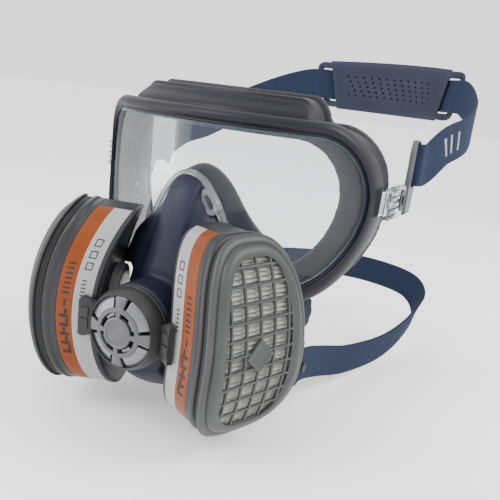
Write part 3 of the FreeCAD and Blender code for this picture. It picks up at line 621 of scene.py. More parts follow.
def make_nose_rim():
    """A clear double bead along the nose cut-out, with a clip on its right-hand shoulder whose slot is a
    dark grey drop of painted shade.
    """
    line = [p for p in arch_outline(0.25) if p[1] > -29]
    section = [(0.95 + 1.0 * math.cos(a), 1.7 * math.sin(a)) for a in angles(12, -2.2, 4.4)]
    section += [(-0.75 + 0.9 * math.cos(a), 0.7 + 1.5 * math.sin(a)) for a in angles(12, 0.9, 4.4)]
    rings = []
    for i, (x, z) in enumerate(line):
        xa, za = line[max(i - 1, 0)]
        xb, zb = line[min(i + 1, len(line) - 1)]
        length = math.hypot(xb - xa, zb - za)
        nx, nz = -(zb - za) / length, (xb - xa) / length
        rings.append([on_lens(x + nx * a, z + nz * a, -0.6 + b) for a, b in section])
    rim = piece("nose_rim", *strip(rings, caps=True), RIM_CLEAR, "mask", "clear_plastic")
    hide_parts("lens_nose_rim")
    clip_part("nose_rim_clip", CLIP_BODY, 1.0, 1.0, RIM_CLEAR)
    # Painted shade: the clip's slot is a dark grey drop standing in for the shade in it.
    clip_part("clip_slot_shade", CLIP_SLOT, 0.28, 0.5, PIVOT_GREY_AND_SLOT_SHADE)


BROW_FOOT, BROW_TOP = 56.5, 68.3
BROW_LEAN, BROW_DROP = 7.5, 2.2


def slope_brow(mesh):
    """Leans the front of the brow back from the frame and rounds its top edge."""
    for vertex in mesh.vertices:
        x, y, z = (c / MM for c in vertex.co)
        front = on_lens(min(max(x, -80), 80), z, -5)[1]
        near = smoothstep(12, 0, y - front)
        height = smoothstep(BROW_FOOT, BROW_TOP, z)
        vertex.co.y += MM * near * BROW_LEAN * height ** 1.3
        if z > BROW_FOOT:
            vertex.co.z -= MM * BROW_DROP * near * height


def make_goggles():
    """Soft-edged goggle body and face seal behind the lens."""
    softened(
        "goggle_body", "goggle_body_moulding", 0.9, 8, PLUM_RUBBER, 0.4,
        slope_brow, INNER_RUBBER,
    )
    softened("face_seal", "face_seal_moulding", 1.0, 6, SEAL_RUBBER, 0.4)
    dress(NODES["lens"], LENS_CLEAR)


PEGS = ((78, 4, 1), (77, 3, -7), (75, 2, -14), (71, 2, -21), (-76, 1, 0), (-76, 2, -8))


def make_lens_pegs():
    """The small pegs at the lens's back face, four on the right and two on the left, painted pale as a
    painted highlight for the glints on them.
    """
    parts = []
    for x, y, z in PEGS:
        rings = []
        for radius, height in ((1.5, 0.0), (1.45, 0.6), (1.15, 1.0), (0.6, 1.2)):
            end = x - math.copysign(height, x)
            rings.append([(end, y + radius * math.cos(t), z + radius * math.sin(t)) for t in angles(14)])
        parts.append(strip(rings, caps=True))
    piece("lens_pegs", *join(parts), PEG_GLINT_PAINT, "mask", "clear_plastic")


def make_groove_shade():
    """A dark blue-green band where the lens meets its frame: painted shade for the groove there, with its
    tint standing in for the glint along it.
    """
    front, back = 0.12, -2.05
    rings = []
    for (xo, zo), (xi, zi) in zip(lens_outline(0, 0), lens_outline(-0.9, -0.9)):
        corners = ((xo, zo, front), (xi, zi, front), (xi, zi, back), (xo, zo, back))
        rings.append([on_lens(*corner) for corner in corners])
    piece("groove_shade_band", *strip(rings, caps=True), GROOVE_SHADE_PAINT, "mask", "lens_clear", crease_angle=30)


# ---------------------------------------------------------------- facepiece


CHEEK_CENTRE = (25, -59, -19)
CHEEK_SWELLING = 8.5
PORT_FRONT = (26.8, -67.8, -47.1)


def swell_cheeks(mesh):
    """Fills the cheeks out behind the filters, above the ports and clear of them."""
    for vertex in mesh.vertices:
        x, y, z = (c / MM for c in vertex.co)
        near = 1 - smoothstep(5, 26, math.dist((abs(x), y, z), CHEEK_CENTRE))
        off_middle = smoothstep(4, 12, abs(x))
        off_port = smoothstep(16, 20.5, math.dist((abs(x), y, z), PORT_FRONT))
        vertex.co.x += math.copysign(CHEEK_SWELLING * near * off_middle * off_port, x) * MM


def shape_facepiece(mesh):
    """The cheeks first, then the ridge, which needs the new normals."""
    swell_cheeks(mesh)
    mesh.update()
    raise_ridge(mesh)


RIDGE_HEIGHT = 1.15


def raise_ridge(mesh):
    """A flat-topped ridge down the middle of the cup, with a crease each side and dished flanks."""
    normals = [vertex.normal.copy() for vertex in mesh.vertices]
    for vertex, n in zip(mesh.vertices, normals):
        x, y, z = (c / MM for c in vertex.co)
        if y > -38 or n.y > -0.05 or z > 27:
            continue
        off = abs(x)
        half = 7.5 + 0.10 * max(0, -z - 5)
        profile = smoothstep(half + 2.2, half - 0.6, off) - 0.75 * bell(off, half + 4.0, 2.6)
        off_boss = smoothstep(22, 27, math.hypot(x, z - VALVE_HEIGHT))
        lift = RIDGE_HEIGHT * profile * smoothstep(26, 14, z) * off_boss
        lift *= smoothstep(-88, -78, z)
        lift *= smoothstep(-0.05, -0.5, n.y)
        vertex.co += n * lift * MM


def make_facepiece():
    """The rubber cup over nose and mouth."""
    softened(
        "facepiece", "facepiece_moulding", 0.9, 14, NAVY_RUBBER, 0.45,
        shape_facepiece,
    )


# ---------------------------------------------------------------- filters

FILTER_CENTRE = (62.0, -83.8, -46.0)
HALF_WIDTH = 29.6
HALF_HEIGHT = 50.8
BOW_RADIUS = HALF_HEIGHT ** 2 / (2 * 12.5)
OUTLINE_STEPS = 128
COLUMN_PITCH = 8.5
ROW_PITCH = 8.0
GRILLE_BAR = 1.3


def filter_matrix(side):
    """A filter's own frame: X out through its grille, Z up its long side."""
    yaw, tilt, roll = math.radians(24.5), math.radians(1.6), math.radians(2.5)
    out = Vector((side * math.cos(yaw) * math.cos(tilt), -math.sin(yaw) * math.cos(tilt), math.sin(tilt)))
    forward = Vector((-side * math.sin(yaw), -math.cos(yaw), 0))
    up = (forward.cross(out) * side).normalized()
    tall = (up * math.cos(roll) + forward * math.sin(roll)).normalized()
    turn = Matrix((out, tall.cross(out), tall)).transposed().to_4x4()
    place = (side * FILTER_CENTRE[0], FILTER_CENTRE[1], FILTER_CENTRE[2])
    return Matrix.Translation(place) @ turn


def squarish(value, power):
    """A sine or cosine raised to a power with its sign kept, which squares a circle off."""
    return math.copysign(abs(value) ** power, value)


def filter_outline(inset=0.0, inset_up=None, steps=OUTLINE_STEPS):
    """The rounded, slightly tapered front outline of a filter as (across, up) points."""
    inset_up = inset if inset_up is None else inset_up
    power = 2 / 2.96
    points = []
    for a in angles(steps):
        up = squarish(math.sin(a), power)
        across = squarish(math.cos(a), power) * (1 - 0.12 * up)
        points.append(((HALF_WIDTH - inset) * across, (HALF_HEIGHT - inset_up) * up))
    return evenly(points, steps)


def bowed(depth, y, z):
    """A point at a depth out of the filter, on its lengthwise bow."""
    return (depth - (BOW_RADIUS - math.sqrt(BOW_RADIUS ** 2 - z * z)), y, z)


def lofted(profile):
    """A closed ring of the filter outline through (inset, depth) pairs."""
    rings = []
    for inset, depth in profile:
        rings.append([bowed(depth, y, z) for y, z in filter_outline(inset)])
    return strip(rings, along=True)


CASING_PROFILE = [
    (8.0, -31.0), (3.0, -31.0), (1.9, -30.8), (1.2, -30.2), (0.9, -29.3), (0.9, -28.2), (1.15, -28.0),
    (1.15, -9.9), (0.9, -9.7), (0.9, -6.4), (0.75, -6.2), (0.45, -5.6), (0.3, -4.7), (0.3, -3.7),
    (0.55, -2.9), (1.1, -2.5), (2.4, -2.4), (2.4, -1.55), (6.0, -1.55), (6.0, -3.5), (2.6, -6.0),
    (2.6, -29.4), (8.0, -29.4),
]
COVER_PROFILE = [
    (2.2, 1.55), (0.9, 1.6), (0.2, 1.9), (0.0, 2.4), (0.1, 3.0), (0.6, 3.6), (1.5, 3.95), (2.6, 4.0),
    (3.1, 3.85), (3.4, 3.7), (3.6, 4.1), (3.9, 4.9), (4.4, 5.55), (5.2, 5.95), (6.2, 6.08), (7.4, 6.05),
    (8.1, 5.9), (8.6, 5.6), (8.8, 4.6), (8.8, 3.9), (7.4, 3.6), (5.2, 3.4), (3.0, 2.6), (2.2, 2.2),
]


def filter_piece(name, part, matrix, material, side, slot, crease_angle=35):
    """A filter part given in the filter's own frame."""
    points, faces = moved(part, matrix)
    body = f"filter_{side}"
    return piece(f"{name}_{side}", points, faces, material, body, slot, crease_angle=crease_angle)


CASING_WALL = 1.15
PORT_COLLAR = (
    (15.6, -29.5), (15.6, -31.0), (14.8, -31.4), (13.2, -31.4), (13.0, -31.0), (13.0, -29.5),
)


def make_casing(side, matrix):
    """The tray, with its turned rim, back plate and port collar."""
    collar = []
    for radius, depth in PORT_COLLAR:
        collar.append([bowed(depth, radius * math.cos(a), radius * math.sin(a)) for a in angles(64)])
    body = join([lofted(CASING_PROFILE), port_plate(), strip(collar, along=True)])
    casing = filter_piece("casing_shell", body, matrix, CASING_GREY, side, "casing_plastic")
    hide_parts(f"filter_casing_{side}")


def port_plate():
    """The back wall, from the casing edge in to the port."""
    rings = []
    edge = filter_outline(4.0)
    for share in (0.0, 0.25, 0.5, 0.75, 1.0):
        ring = []
        for y, z in edge:
            a = math.atan2(z, y)
            py, pz = 14.5 * math.cos(a), 14.5 * math.sin(a)
            ring.append(bowed(-30.6, y + (py - y) * share, z + (pz - z) * share))
        rings.append(ring)
    inner = [[(x + 1.2, y, z) for x, y, z in ring] for ring in rings[::-1]]
    return strip(rings + inner, along=True)


def band_piece(name, side, matrix, material, low, high):
    """A printed band round the front and the ends of the casing, between two depths."""
    count = 256
    edge = filter_outline(CASING_WALL - 0.15, steps=count)
    inner = filter_outline(CASING_WALL - 0.03, steps=count)
    chosen = [i for i in range(count) if edge[i][0] * forward(side) > 8.0]
    start = next(i for i in chosen if (i - 1) % count not in chosen)
    rings = []
    for k in range(len(chosen)):
        i = (start + k) % count
        outer = [bowed(low + (high - low) * t, *edge[i]) for t in (0.0, 0.5, 1.0)]
        rings.append([bowed(low, *inner[i])] + outer + [bowed(high, *inner[i])])
    return filter_piece(name, strip(rings, caps=True), matrix, material, side, "label_print")


def forward(side):
    """Which way along a filter's own Y axis its printed wall looks."""
    return -1 if side == "right" else 1


def label_mark(side, depth, at, deep, tall):
    """A small printed mark on the casing wall, centred on a depth and a height."""
    wall = sorted((z, y) for y, z in filter_outline(0.86, steps=512) if y * forward(side) > 0)
    steps = max(2, int(tall))
    rings = []
    for k in range(steps + 1):
        z = at + tall * (k / steps - 0.5)
        y = wall_at(wall, z)
        rings.append([bowed(depth - deep / 2, y, z), bowed(depth + deep / 2, y, z)])
    return strip(rings, around=False)


def wall_at(wall, z):
    """Where the casing wall is at a height."""
    for (za, ya), (zb, yb) in zip(wall, wall[1:]):
        if za <= z <= zb:
            return ya + (yb - ya) * (z - za) / max(zb - za, 1e-9)
    return wall[-1][1]


def make_label(side, matrix):
    """White and orange printed bands with plain marks in place of any wording."""
    split = -19.0 if side == "right" else -18.4
    white = band_piece("label_white", side, matrix, PRINT_WHITE, -27.9, split)
    orange = band_piece("label_orange", side, matrix, PRINT_ORANGE, split, -10.0)
    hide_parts(f"filter_label_{side}")
    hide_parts(f"filter_label_{side}")
    middle = (split - 10.0) / 2
    marks = []
    for k in range(5):
        marks.append((middle, -26.0 + 5.0 * k, 4.6, 1.5))
        marks.append((middle - 1.6 + 0.8 * (k % 3), -23.6 + 5.0 * k, 1.4, 2.6))
    marks.append((middle, 1.0, 1.0, 4.0))
    marks += [(middle, 6.5 + 2.6 * k, 3.6, 0.9) for k in range(7)]
    marks += [(split - 4.2, 4.0 + 2.0 * k, 2.4, 0.6) for k in range(6)]
    for k in range(3):
        low = 20.0 + 6.0 * k
        marks += [(split - 4.4, low, 3.6, 0.5), (split - 4.4, low + 3.4, 3.6, 0.5)]
        marks += [(split - 2.8, low + 1.7, 0.5, 3.4), (split - 6.0, low + 1.7, 0.5, 3.4)]
    printed = join([label_mark(side, *mark) for mark in marks])
    filter_piece("label_marks", printed, matrix, PRINT_INK, side, "label_print")


def make_cover(side, matrix):
    """The grille cover: a rounded border, a grid of bars and a plain diamond."""
    window = filter_outline(10.0, 7.3, steps=256)
    rings = []
    for (yo, zo), (yi, zi) in zip(filter_outline(8.5, 8.5, steps=256), window):
        half_way = bowed(5.35, (yo + yi) / 2, (zo + zi) / 2)
        edge = [bowed(5.0, yi, zi), bowed(3.9, yi, zi), bowed(3.8, yo, zo)]
        rings.append([bowed(5.75, yo, zo), half_way] + edge)
    parts = [lofted(COVER_PROFILE), strip(rings, along=True)] + grille_bars(window) + [diamond()]
    cover = filter_piece("cover_grille", join(parts), matrix, COVER_GREY, side, "casing_plastic")
    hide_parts(f"filter_cover_{side}")


def reach_at(window, fixed, value):
    """How far the window reaches on both sides of a bar at a coordinate (0 across, 1 up)."""
    crossings = []
    for a, b in zip(window, window[1:] + window[:1]):
        if (a[fixed] - value) * (b[fixed] - value) <= 0 and a[fixed] != b[fixed]:
            t = (value - a[fixed]) / (b[fixed] - a[fixed])
            crossings.append(a[1 - fixed] + (b[1 - fixed] - a[1 - fixed]) * t)
    return (min(crossings), max(crossings)) if crossings else None


def bar(start, end, top, pieces):
    """A round-topped grille bar between two (across, up) points, following the bow."""
    bottom = 3.95
    dy, dz = end[0] - start[0], end[1] - start[1]
    length = math.hypot(dy, dz)
    ny, nz = -dz / length * GRILLE_BAR, dy / length * GRILLE_BAR
    section = [(-0.5, bottom), (-0.5, top - 0.35), (-0.36, top - 0.08), (0, top)]
    section += [(-share, depth) for share, depth in section[2::-1]]
    rings = []
    for k in range(pieces + 1):
        y, z = start[0] + dy * k / pieces, start[1] + dz * k / pieces
        rings.append([bowed(d, y + ny * f, z + nz * f) for f, d in section])
    return strip(rings, caps=True)


def grille_bars(window):
    """Upright bars and cross bars, each as long as the window allows and a little longer."""
    over = 0.4
    parts = []
    for k in range(-2, 3):
        across = k * COLUMN_PITCH
        low, high = reach_at(window, 0, across)
        parts.append(bar((across, low - over), (across, high + over), 5.35, 30))
    for k in range(-6, 7):
        up = k * ROW_PITCH - 2.0
        reach = reach_at(window, 1, up)
        if reach:
            parts.append(bar((reach[0] - over, up), (reach[1] + over, up), 5.2, 12))
    return parts


def diamond():
    """A plain raised diamond in the middle of the grille."""
    wide, tall, drop = 8.2, 9.0, 4.0
    corners = [(wide, 0), (0, tall), (-wide, 0), (0, -tall), (wide, 0)]
    rings = []
    for inset, depth in ((0.0, 3.95), (0.0, 5.3), (0.06, 5.75), (0.16, 5.8), (0.24, 5.6), (0.6, 5.6)):
        ring = []
        for (ya, za), (yb, zb) in zip(corners, corners[1:]):
            for t in (k / 6 for k in range(6)):
                y, z = (ya + (yb - ya) * t) * (1 - inset), (za + (zb - za) * t) * (1 - inset)
                ring.append(bowed(depth, y, z - drop))
        rings.append(ring)
    return strip(rings, caps=True)


def make_pleats(side, matrix):
    """The pleated medium behind the grille, folded into sharp ridges."""
    window = filter_outline(6.5, 5.0, steps=256)
    rows = []
    z = -44.0
    while z <= 44.0:
        low, high = reach_at(window, 1, z)
        k = len(rows)
        row = []
        for i in range(13):
            y = low + (high - low) * i / 12
            depth = (1.3 if k % 2 else 3.3) + 0.12 * math.sin(0.8 * y + k)
            row.append(bowed(depth, y, z + 0.18 * math.sin(0.35 * y + 1.7 * k)))
        rows.append(row)
        z += 1.1
    points, faces = strip(rows, around=False)
    count, wide, last = len(points), len(rows[0]), len(rows) - 1
    points += [(x - 1.0, y, z) for x, y, z in points]
    faces += [tuple(i + count for i in face)[::-1] for face in faces]
    edges = [(r * wide + i, (r + 1) * wide + i) for r in range(last) for i in (0, wide - 1)]
    edges += [(r * wide + i, r * wide + i + 1) for i in range(wide - 1) for r in (0, last)]
    faces += [(a, b, count + b, count + a) for a, b in edges]
    block_of_pleats = (points, faces)
    part = filter_piece(
        "pleated_medium", block_of_pleats, matrix, PLEAT_WHITE, side, "pleat_media", crease_angle=20
    )
    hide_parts(f"pleated_filter_{side}")


GASKET_PROFILE = [
    (2.2, -2.3), (1.5, -2.2), (1.2, -1.4), (1.3, -0.2), (1.2, 0.9), (1.5, 1.4), (2.3, 1.5), (4.5, 1.2),
    (4.5, -1.8),
]


def make_gasket(side, matrix):
    """The black seal in the groove between the tray and its cover."""
    ring = lofted(GASKET_PROFILE)
    part = filter_piece("gasket_ring", ring, matrix, BLACK_RUBBER_AND_HOLLOW_SHADE, side, "gasket_black")
    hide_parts(f"filter_gasket_{side}")


def make_filters():
    """Both filters, each in its own frame."""
    for side, sign in SIDES.items():
        matrix = filter_matrix(sign)
        for make in (make_casing, make_label, make_cover, make_pleats, make_gasket):
            make(side, matrix)
        dress(NODES[f"carbon_bed_{side}"], CARBON_BLACK)


# ---------------------------------------------------------------- exhalation valve

VALVE_HEIGHT = -51.4
VALVE_FRONT = -101.3
CAP_DOME = [
    (0, 7.0), (4, 6.92), (9, 6.6), (12.8, 5.9), (17.3, 4.9), (19.4, 2.8), (20.6, 0.0), (21.0, -2.0),
    (21.0, -7.0),
]
CAP_HUB = [
    (0.01, 6.75), (3.0, 6.72), (6.2, 6.6), (6.6, 6.9), (7.4, 6.8), (7.9, 6.45), (7.9, 4.6), (0.01, 4.6),
]
CAP_WALL = [
    (18.3, 4.3), (18.6, 4.55), (19.1, 3.5), (19.8, 2.1), (20.55, 0.4), (20.95, -1.6), (21.0, -3.4),
    (20.5, -4.0), (20.5, -5.2), (20.9, -5.6), (20.9, -6.9), (19.9, -6.9), (19.6, -2.0), (18.4, 1.4),
    (17.9, 2.6), (18.0, 3.9),
]
# The black disc of painted shade inside the cap, as (radius, height) pairs.
CAP_WELL = [(0.01, 2.2), (9, 2.2), (16.5, 1.2), (17.6, 0.4), (17.6, -0.4), (0.01, -0.4)]
SPOKE_SPAN = (12.3, 18.9)


def dome_height(radius):
    """How far forward the cap's surface is at a radius."""
    for (ra, ha), (rb, hb) in zip(CAP_DOME, CAP_DOME[1:]):
        if ra <= radius <= rb and rb > ra:
            return ha + (hb - ha) * (radius - ra) / (rb - ra)
    return -7.0


def valve_point(radius, angle, height):
    """A point on the valve: angle 0 is +X and a quarter turn is up."""
    return (radius * math.cos(angle), VALVE_FRONT - height, VALVE_HEIGHT + radius * math.sin(angle))


def turned(profile, count=64):
    """A closed ring round the valve's axis through (radius, height) pairs."""
    rings = [[valve_point(radius, a, height) for a in angles(count)] for radius, height in profile]
    return strip(rings, along=True)


def sector(inner, outer, start, sweep, depth, sunk=0.0, slope=0.0, steps=None):
    """A curved plate that follows the cap's dome between two radii and two angles."""
    steps = steps or max(4, int(abs(math.degrees(sweep)) / 4))
    lip, wide = 0.22, outer - inner
    top = [inner, inner + lip, inner + wide * 0.35, inner + wide * 0.65, outer - lip, outer]
    heights = [dome_height(r) - (sunk + slope * (r - inner)) for r in top]
    section = [(inner, heights[0] - 0.25)] + list(zip(top, heights))[1:-1] + [(outer, heights[-1] - 0.25)]
    section += [(outer, heights[-1] - depth), (inner, heights[0] - depth)]
    closed = abs(sweep) > math.tau - 1e-6
    rings = []
    for k in range(steps if closed else steps + 1):
        rings.append([valve_point(r, start + sweep * k / steps, height) for r, height in section])
    return strip(rings, along=closed, caps=not closed)


def make_valve_cover():
    """The cap: a hub, four curved slots, a ring, four spokes and sloping petals between them, with a black
    disc of painted shade behind the slots.
    """
    parts = [turned(CAP_HUB), sector(10.3, 12.6, 0, math.tau, 1.6)]
    petals = []
    for middle in angles(4):
        parts.append(sector(7.7, 10.5, middle - 0.13, 0.26, 1.6, steps=4))
        parts.append(spoke(middle))
        petals.append(sector(12.5, 18.5, middle + 0.30, math.tau / 4 - 0.60, 0.9, 0.5, 0.16))
        petals.append(sector(8.4, 10.2, middle + 0.34, 0.55, 0.7, 1.4))
    cap = piece("valve_cap", *join(parts), CAP_GREY, "valve_cover", "grey_plastic")
    # Painted shade: the cap's side wall takes a darker copy of its grey.
    shell = piece("valve_cap_wall", *turned(CAP_WALL, 96), CAP_SIDE_SHADE, "valve_cover", "grey_plastic")
    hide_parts("exhalation_cover")
    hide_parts("exhalation_cover")
    piece("valve_petals", *join(petals), PETAL_GREY, "valve_cover", "grey_plastic")
    # Painted shade: a black disc behind the slots, standing in for the shade inside the cap.
    piece("valve_hollow_shade", *turned(CAP_WELL), BLACK_RUBBER_AND_HOLLOW_SHADE, "valve_cover", "grey_plastic")


def spoke(angle):
    """A spoke that widens towards the rim."""
    inner, outer = SPOKE_SPAN
    rings = []
    for k in range(9):
        r = inner + (outer - inner) * k / 8
        half = 0.175 + 0.02 * k / 8
        section = ((-1, 0.25), (-0.85, 0.0), (0, -0.02), (0.85, 0.0), (1, 0.25), (1, 1.7), (-1, 1.7))
        rings.append([valve_point(r, angle + half * f, dome_height(r) - lower) for f, lower in section])
    return strip(rings, caps=True)


def stacked(outline, levels):
    """A (x, y, half height) outline drawn in about its middle at each (share, shrink) level."""
    cx, cy = (sum(p[i] for p in outline) / len(outline) for i in (0, 1))
    rings = []
    for share, shrink in levels:
        rings.append([
            (cx + (x - cx) * shrink, cy + (y - cy) * shrink, VALVE_HEIGHT + half * share)
            for x, y, half in outline
        ])
    return strip(rings, caps=True)


def make_tab(side, sign):
    """The latch over a filter's edge: a faceted plate that widens outwards, with a raised grip."""
    matrix = filter_matrix(sign)
    front = HALF_WIDTH + 0.3
    rear = -95.2

    def nose(depth, ahead, half=1.0):
        """A corner on the filter's nose, with half the height that the tab has there."""
        corner = matrix @ Vector((depth - 31.0, -sign * ahead, 0))
        return corner.x, corner.y, half

    plate = [
        (sign * 19.4, rear, 8.0), (sign * 20.9, rear, 8.0), (sign * 20.9, rear - 1.8, 8.4),
        nose(2, front, 9.8), nose(8, front, 11.0), nose(8, front + 3, 10.6), nose(2, front + 3, 9.4),
        (sign * 19.4, rear - 4.6, 8.0),
    ]
    grip = [nose(2.6, front + 2.6), nose(7.6, front + 2.6), nose(7.2, front + 3.7), nose(3.0, front + 3.7)]
    levels = [(-1.0, 0.62), (-0.95, 0.82), (-0.86, 1.0), (0.86, 1.0), (0.95, 0.82), (1.0, 0.62)]
    parts = [stacked(plate, levels)]
    for low, high in ((-5.6, -0.6), (0.6, 5.6)):
        parts.append(stacked(grip, ((low, 0.8), (low + 0.4, 1.0), (high - 0.4, 1.0), (high, 0.8))))
    tab = piece(f"tab_latch_{side}", *join(parts), TAB_GREY, f"tab_{side}", "grey_plastic", crease_angle=25)
    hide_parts(f"retaining_tab_{side}")


def make_valve():
    """The valve, its cover, the yoke, the port rings with their flaps, and the two tabs."""
    make_valve_cover()
    dress(NODES["exhalation_seat"], CAP_GREY)
    dress(NODES["exhalation_membrane"], SILICONE)
    dress(NODES["filter_yoke"], BLACK_RUBBER_AND_HOLLOW_SHADE)
    for side, sign in SIDES.items():
        dress(NODES[f"inhalation_seat_{side}"], CAP_GREY)
        dress(NODES[f"inhalation_membrane_{side}"], SILICONE)
        make_tab(side, sign)


# ---------------------------------------------------------------- harness

LOOP_CENTRE = (9.7, 109.0)
LOOP_RADIUS = 103.6
PIVOT_BACK = 19.6
PIVOT_UP = 19.0
BUCKLE_PIVOT = Vector((0, PIVOT_BACK, PIVOT_UP))
LEFT_DROOP = -24.0
STRAP_ACROSS = 98.6
STRAP_HEIGHT = 38.2
WEBBING_THICKNESS = 1.5
UPPER_RUN = [
    (-22, 50), (-10, 56), (0, 61), (12, 68), (24, 77), (33, 83), (38, 84), (48, 84), (58, 84), (68, 84),
    (78, 84), (88, 84), (98, 84), (108, 84), (117, 83.6), (124, 80.5), (134, 73.5), (144, 65.5), (154, 57.5),
    (165, 49), (178, 41),
]
NECK_RUN = [
    ((64.1, -27, -80), 0), ((64.1, -14, -80.5), 0), ((66.5, 10, -87), 0), ((74, 40, -94), 0),
    ((86, 82, -96), 6), ((95, 114, -88), 14), ((98, 136, -75), 20), ((88, 149, -66), 14),
    ((66, 153, -62), 6), ((34, 152, -61), 0), ((-4, 146, -64), 0), ((-44, 130, -70), 0),
    ((-70, 98, -76), 0), ((-77, 55, -80), 0), ((-70.4, 15, -80), 0), ((-64.7, -14, -80), 0),
    ((-64.3, -27, -80), 0),
]


def buckle_turn(sign):
    """The swing of the left buckle, which hangs lower than the right one."""
    if sign > 0:
        return Matrix.Identity(4)
    turn = Matrix.Rotation(math.radians(LEFT_DROOP), 4, "X")
    return Matrix.Translation(BUCKLE_PIVOT) @ turn @ Matrix.Translation(-BUCKLE_PIVOT)


UPPER_WIDTH = 25.0
NECK_WIDTH = 20.0


def strap_frames(points, leans=None, steps=6, fixed_up=None):
    """Along a strap: its middle, its width direction, its outward direction and the length so far."""
    leans = leans or [0.0] * len(points)
    line = through([Vector(p) for p in points], steps)
    frames = []
    gone = 0.0
    for i, at in enumerate(line):
        ahead = heading(line, i)
        up = (Vector((0, 0, 1)) - ahead * ahead.z).normalized() if fixed_up is None else fixed_up
        k = min(i / steps, len(leans) - 1)
        low = int(k)
        lean = leans[low] + (leans[min(low + 1, len(leans) - 1)] - leans[low]) * (k - low)
        turn = Matrix.Rotation(math.radians(lean), 3, ahead)
        if i:
            gone += (at - line[i - 1]).length
        frames.append((at, turn @ up, turn @ ahead.cross(up).normalized(), gone))
    return frames


def strap_mesh(frames, width):
    """A flat woven strip with rounded edges, with its UVs in millimetres."""
    half, thick = width / 2, WEBBING_THICKNESS / 2
    face = [(half - 0.35) * c / 4 for c in range(-4, 5)]
    side = [(half - 0.1, thick * 0.7), (half, 0.0), (half - 0.1, -thick * 0.7)]
    section = [(w, thick) for w in face] + side
    section += [(w, -thick) for w in face[::-1]] + [(-w, -t) for w, t in side]
    rings = []
    uvs = []
    for at, up, aside, gone in frames:
        rings.append([at + up * w + aside * t for w, t in section])
        uvs += [(gone, w) for w, t in section]
    points, faces = strip(rings, caps=True)
    return points, faces, uvs


def strap_patch(frames, start, end):
    """A thin patch on a strap's outer face, between two lengths along it."""
    half = 6.0
    top, bottom = WEBBING_THICKNESS / 2 + 0.1, WEBBING_THICKNESS / 2 - 0.1
    corners = ((-half, bottom), (-half, top), (half, top), (half, bottom))
    rings = []
    for at, up, aside, gone in frames:
        if start <= gone <= end:
            rings.append([at + up * w + aside * t for w, t in corners])
    return strip(rings, caps=True)


def stitches(at, up, ahead, out):
    """A row of thread stitches: small raised lozenges along a line."""
    count, pitch, length = 11, 2.0, 1.5
    parts = []
    for k in range(count):
        centre = at + up * (k - (count - 1) / 2) * pitch
        low, high = [], []
        for a, b in ((-1, 0), (0, -1), (1, 0), (0, 1)):
            low.append(centre + up * a * length / 2 + ahead * b * 0.28 - out * 0.12)
            high.append(centre + up * a * length * 0.3 + ahead * b * 0.16 + out * 0.22)
        parts.append(strip([low, high], caps=True))
    return join(parts)


def loop_point(angle, height, radius=LOOP_RADIUS):
    """A point on the circle round the head, at an angle in degrees and a height."""
    a = math.radians(angle)
    return Vector((LOOP_CENTRE[0] + radius * math.cos(a), LOOP_CENTRE[1] + radius * math.sin(a), height))


def make_upper_strap():
    """The elastic webbing round the head, with three plain marks near its right-hand end."""
    ends = {}
    for sign in SIDES.values():
        start = Vector((sign * STRAP_ACROSS, 47.0, STRAP_HEIGHT))
        near = Vector((sign * (STRAP_ACROSS + (0.8 if sign > 0 else 0)), 53.0, STRAP_HEIGHT + 0.4))
        ends[sign] = [buckle_turn(sign) @ p for p in (start, near)]
    middle = [loop_point(angle, height) for angle, height in UPPER_RUN]
    run = ends[1] + middle + [Vector((-95.5, 82, 35.0))] + ends[-1][::-1]
    frames = strap_frames(run, steps=10)
    points, faces, uvs = strap_mesh(frames, UPPER_WIDTH)
    strap = piece("upper_webbing", points, faces, WEBBING_NAVY, "upper_harness", "webbing_navy", uvs=uvs)
    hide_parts("upper_strap")
    marks = [strap_patch(frames, 24 + 8 * k, 29 + 8 * k) for k in range(3)]
    piece("webbing_marks", *join(marks), MARK_GREY, "upper_harness", "webbing_navy")


def make_folds():
    """The webbing's end at each buckle, folded round the bar and sewn down."""
    outer, inner = STRAP_ACROSS, STRAP_ACROSS + 0.75 - 8.2 + 0.75
    path = [
        (outer, 47.0), (outer, 44.0), (outer - 0.1, 42.0), (outer - 0.9, 40.5), (outer - 2.6, 39.95),
        (inner + 2.6, 39.95), (inner + 0.9, 40.5), (inner + 0.1, 42.0), (inner, 44.0), (inner, 52.0),
        (inner, 60.0),
    ]
    seams = []
    for side, sign in SIDES.items():
        turn = buckle_turn(sign)
        fold = [turn @ Vector((sign * x, y, STRAP_HEIGHT)) for x, y in path]
        lifted, ahead, out = (turn.to_3x3() @ Vector(v) for v in ((0, 0, 1), (0, 1, 0), (-sign, 0, 0)))
        points, faces, uvs = strap_mesh(strap_frames(fold, steps=4, fixed_up=lifted), UPPER_WIDTH)
        part = piece(
            f"webbing_fold_{side}", points, faces, WEBBING_NAVY, "upper_harness", "webbing_navy", uvs=uvs
        )
        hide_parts("upper_strap")
        for back in (55.0, 58.0):
            at = turn @ Vector((sign * (inner - 0.75), back, STRAP_HEIGHT))
            seams.append(stitches(at, lifted, ahead, out))
    piece("webbing_stitching", *join(seams), THREAD, "upper_harness", "webbing_navy")


def make_neck_strap():
    """The lower webbing, from one cheek round the back of the neck to the other."""
    frames = strap_frames(*zip(*NECK_RUN))
    points, faces, uvs = strap_mesh(frames, NECK_WIDTH)
    strap = piece("neck_webbing", points, faces, WEBBING_NAVY, "neck_harness", "webbing_navy", uvs=uvs)
    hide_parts("neck_strap")


PAD_SPAN = (47.0, 108.0)
PAD_MIDDLE = sum(PAD_SPAN) / 2
PAD_BOTTOM, PAD_TOP = 64.0, 104.0
PAD_THIN, PAD_THICK = 99.5, 102.0
PAD_COLUMNS, PAD_ROWS = 32, 11
HOLE_RADIUS = 0.8
DEGREES_IN_A_RADIAN = 57.3


def flared(turn, z):
    """The pad is longer along its top edge than along its bottom edge."""
    return PAD_MIDDLE + (turn - PAD_MIDDLE) * (1 + 0.10 * (z - 84) / 20)


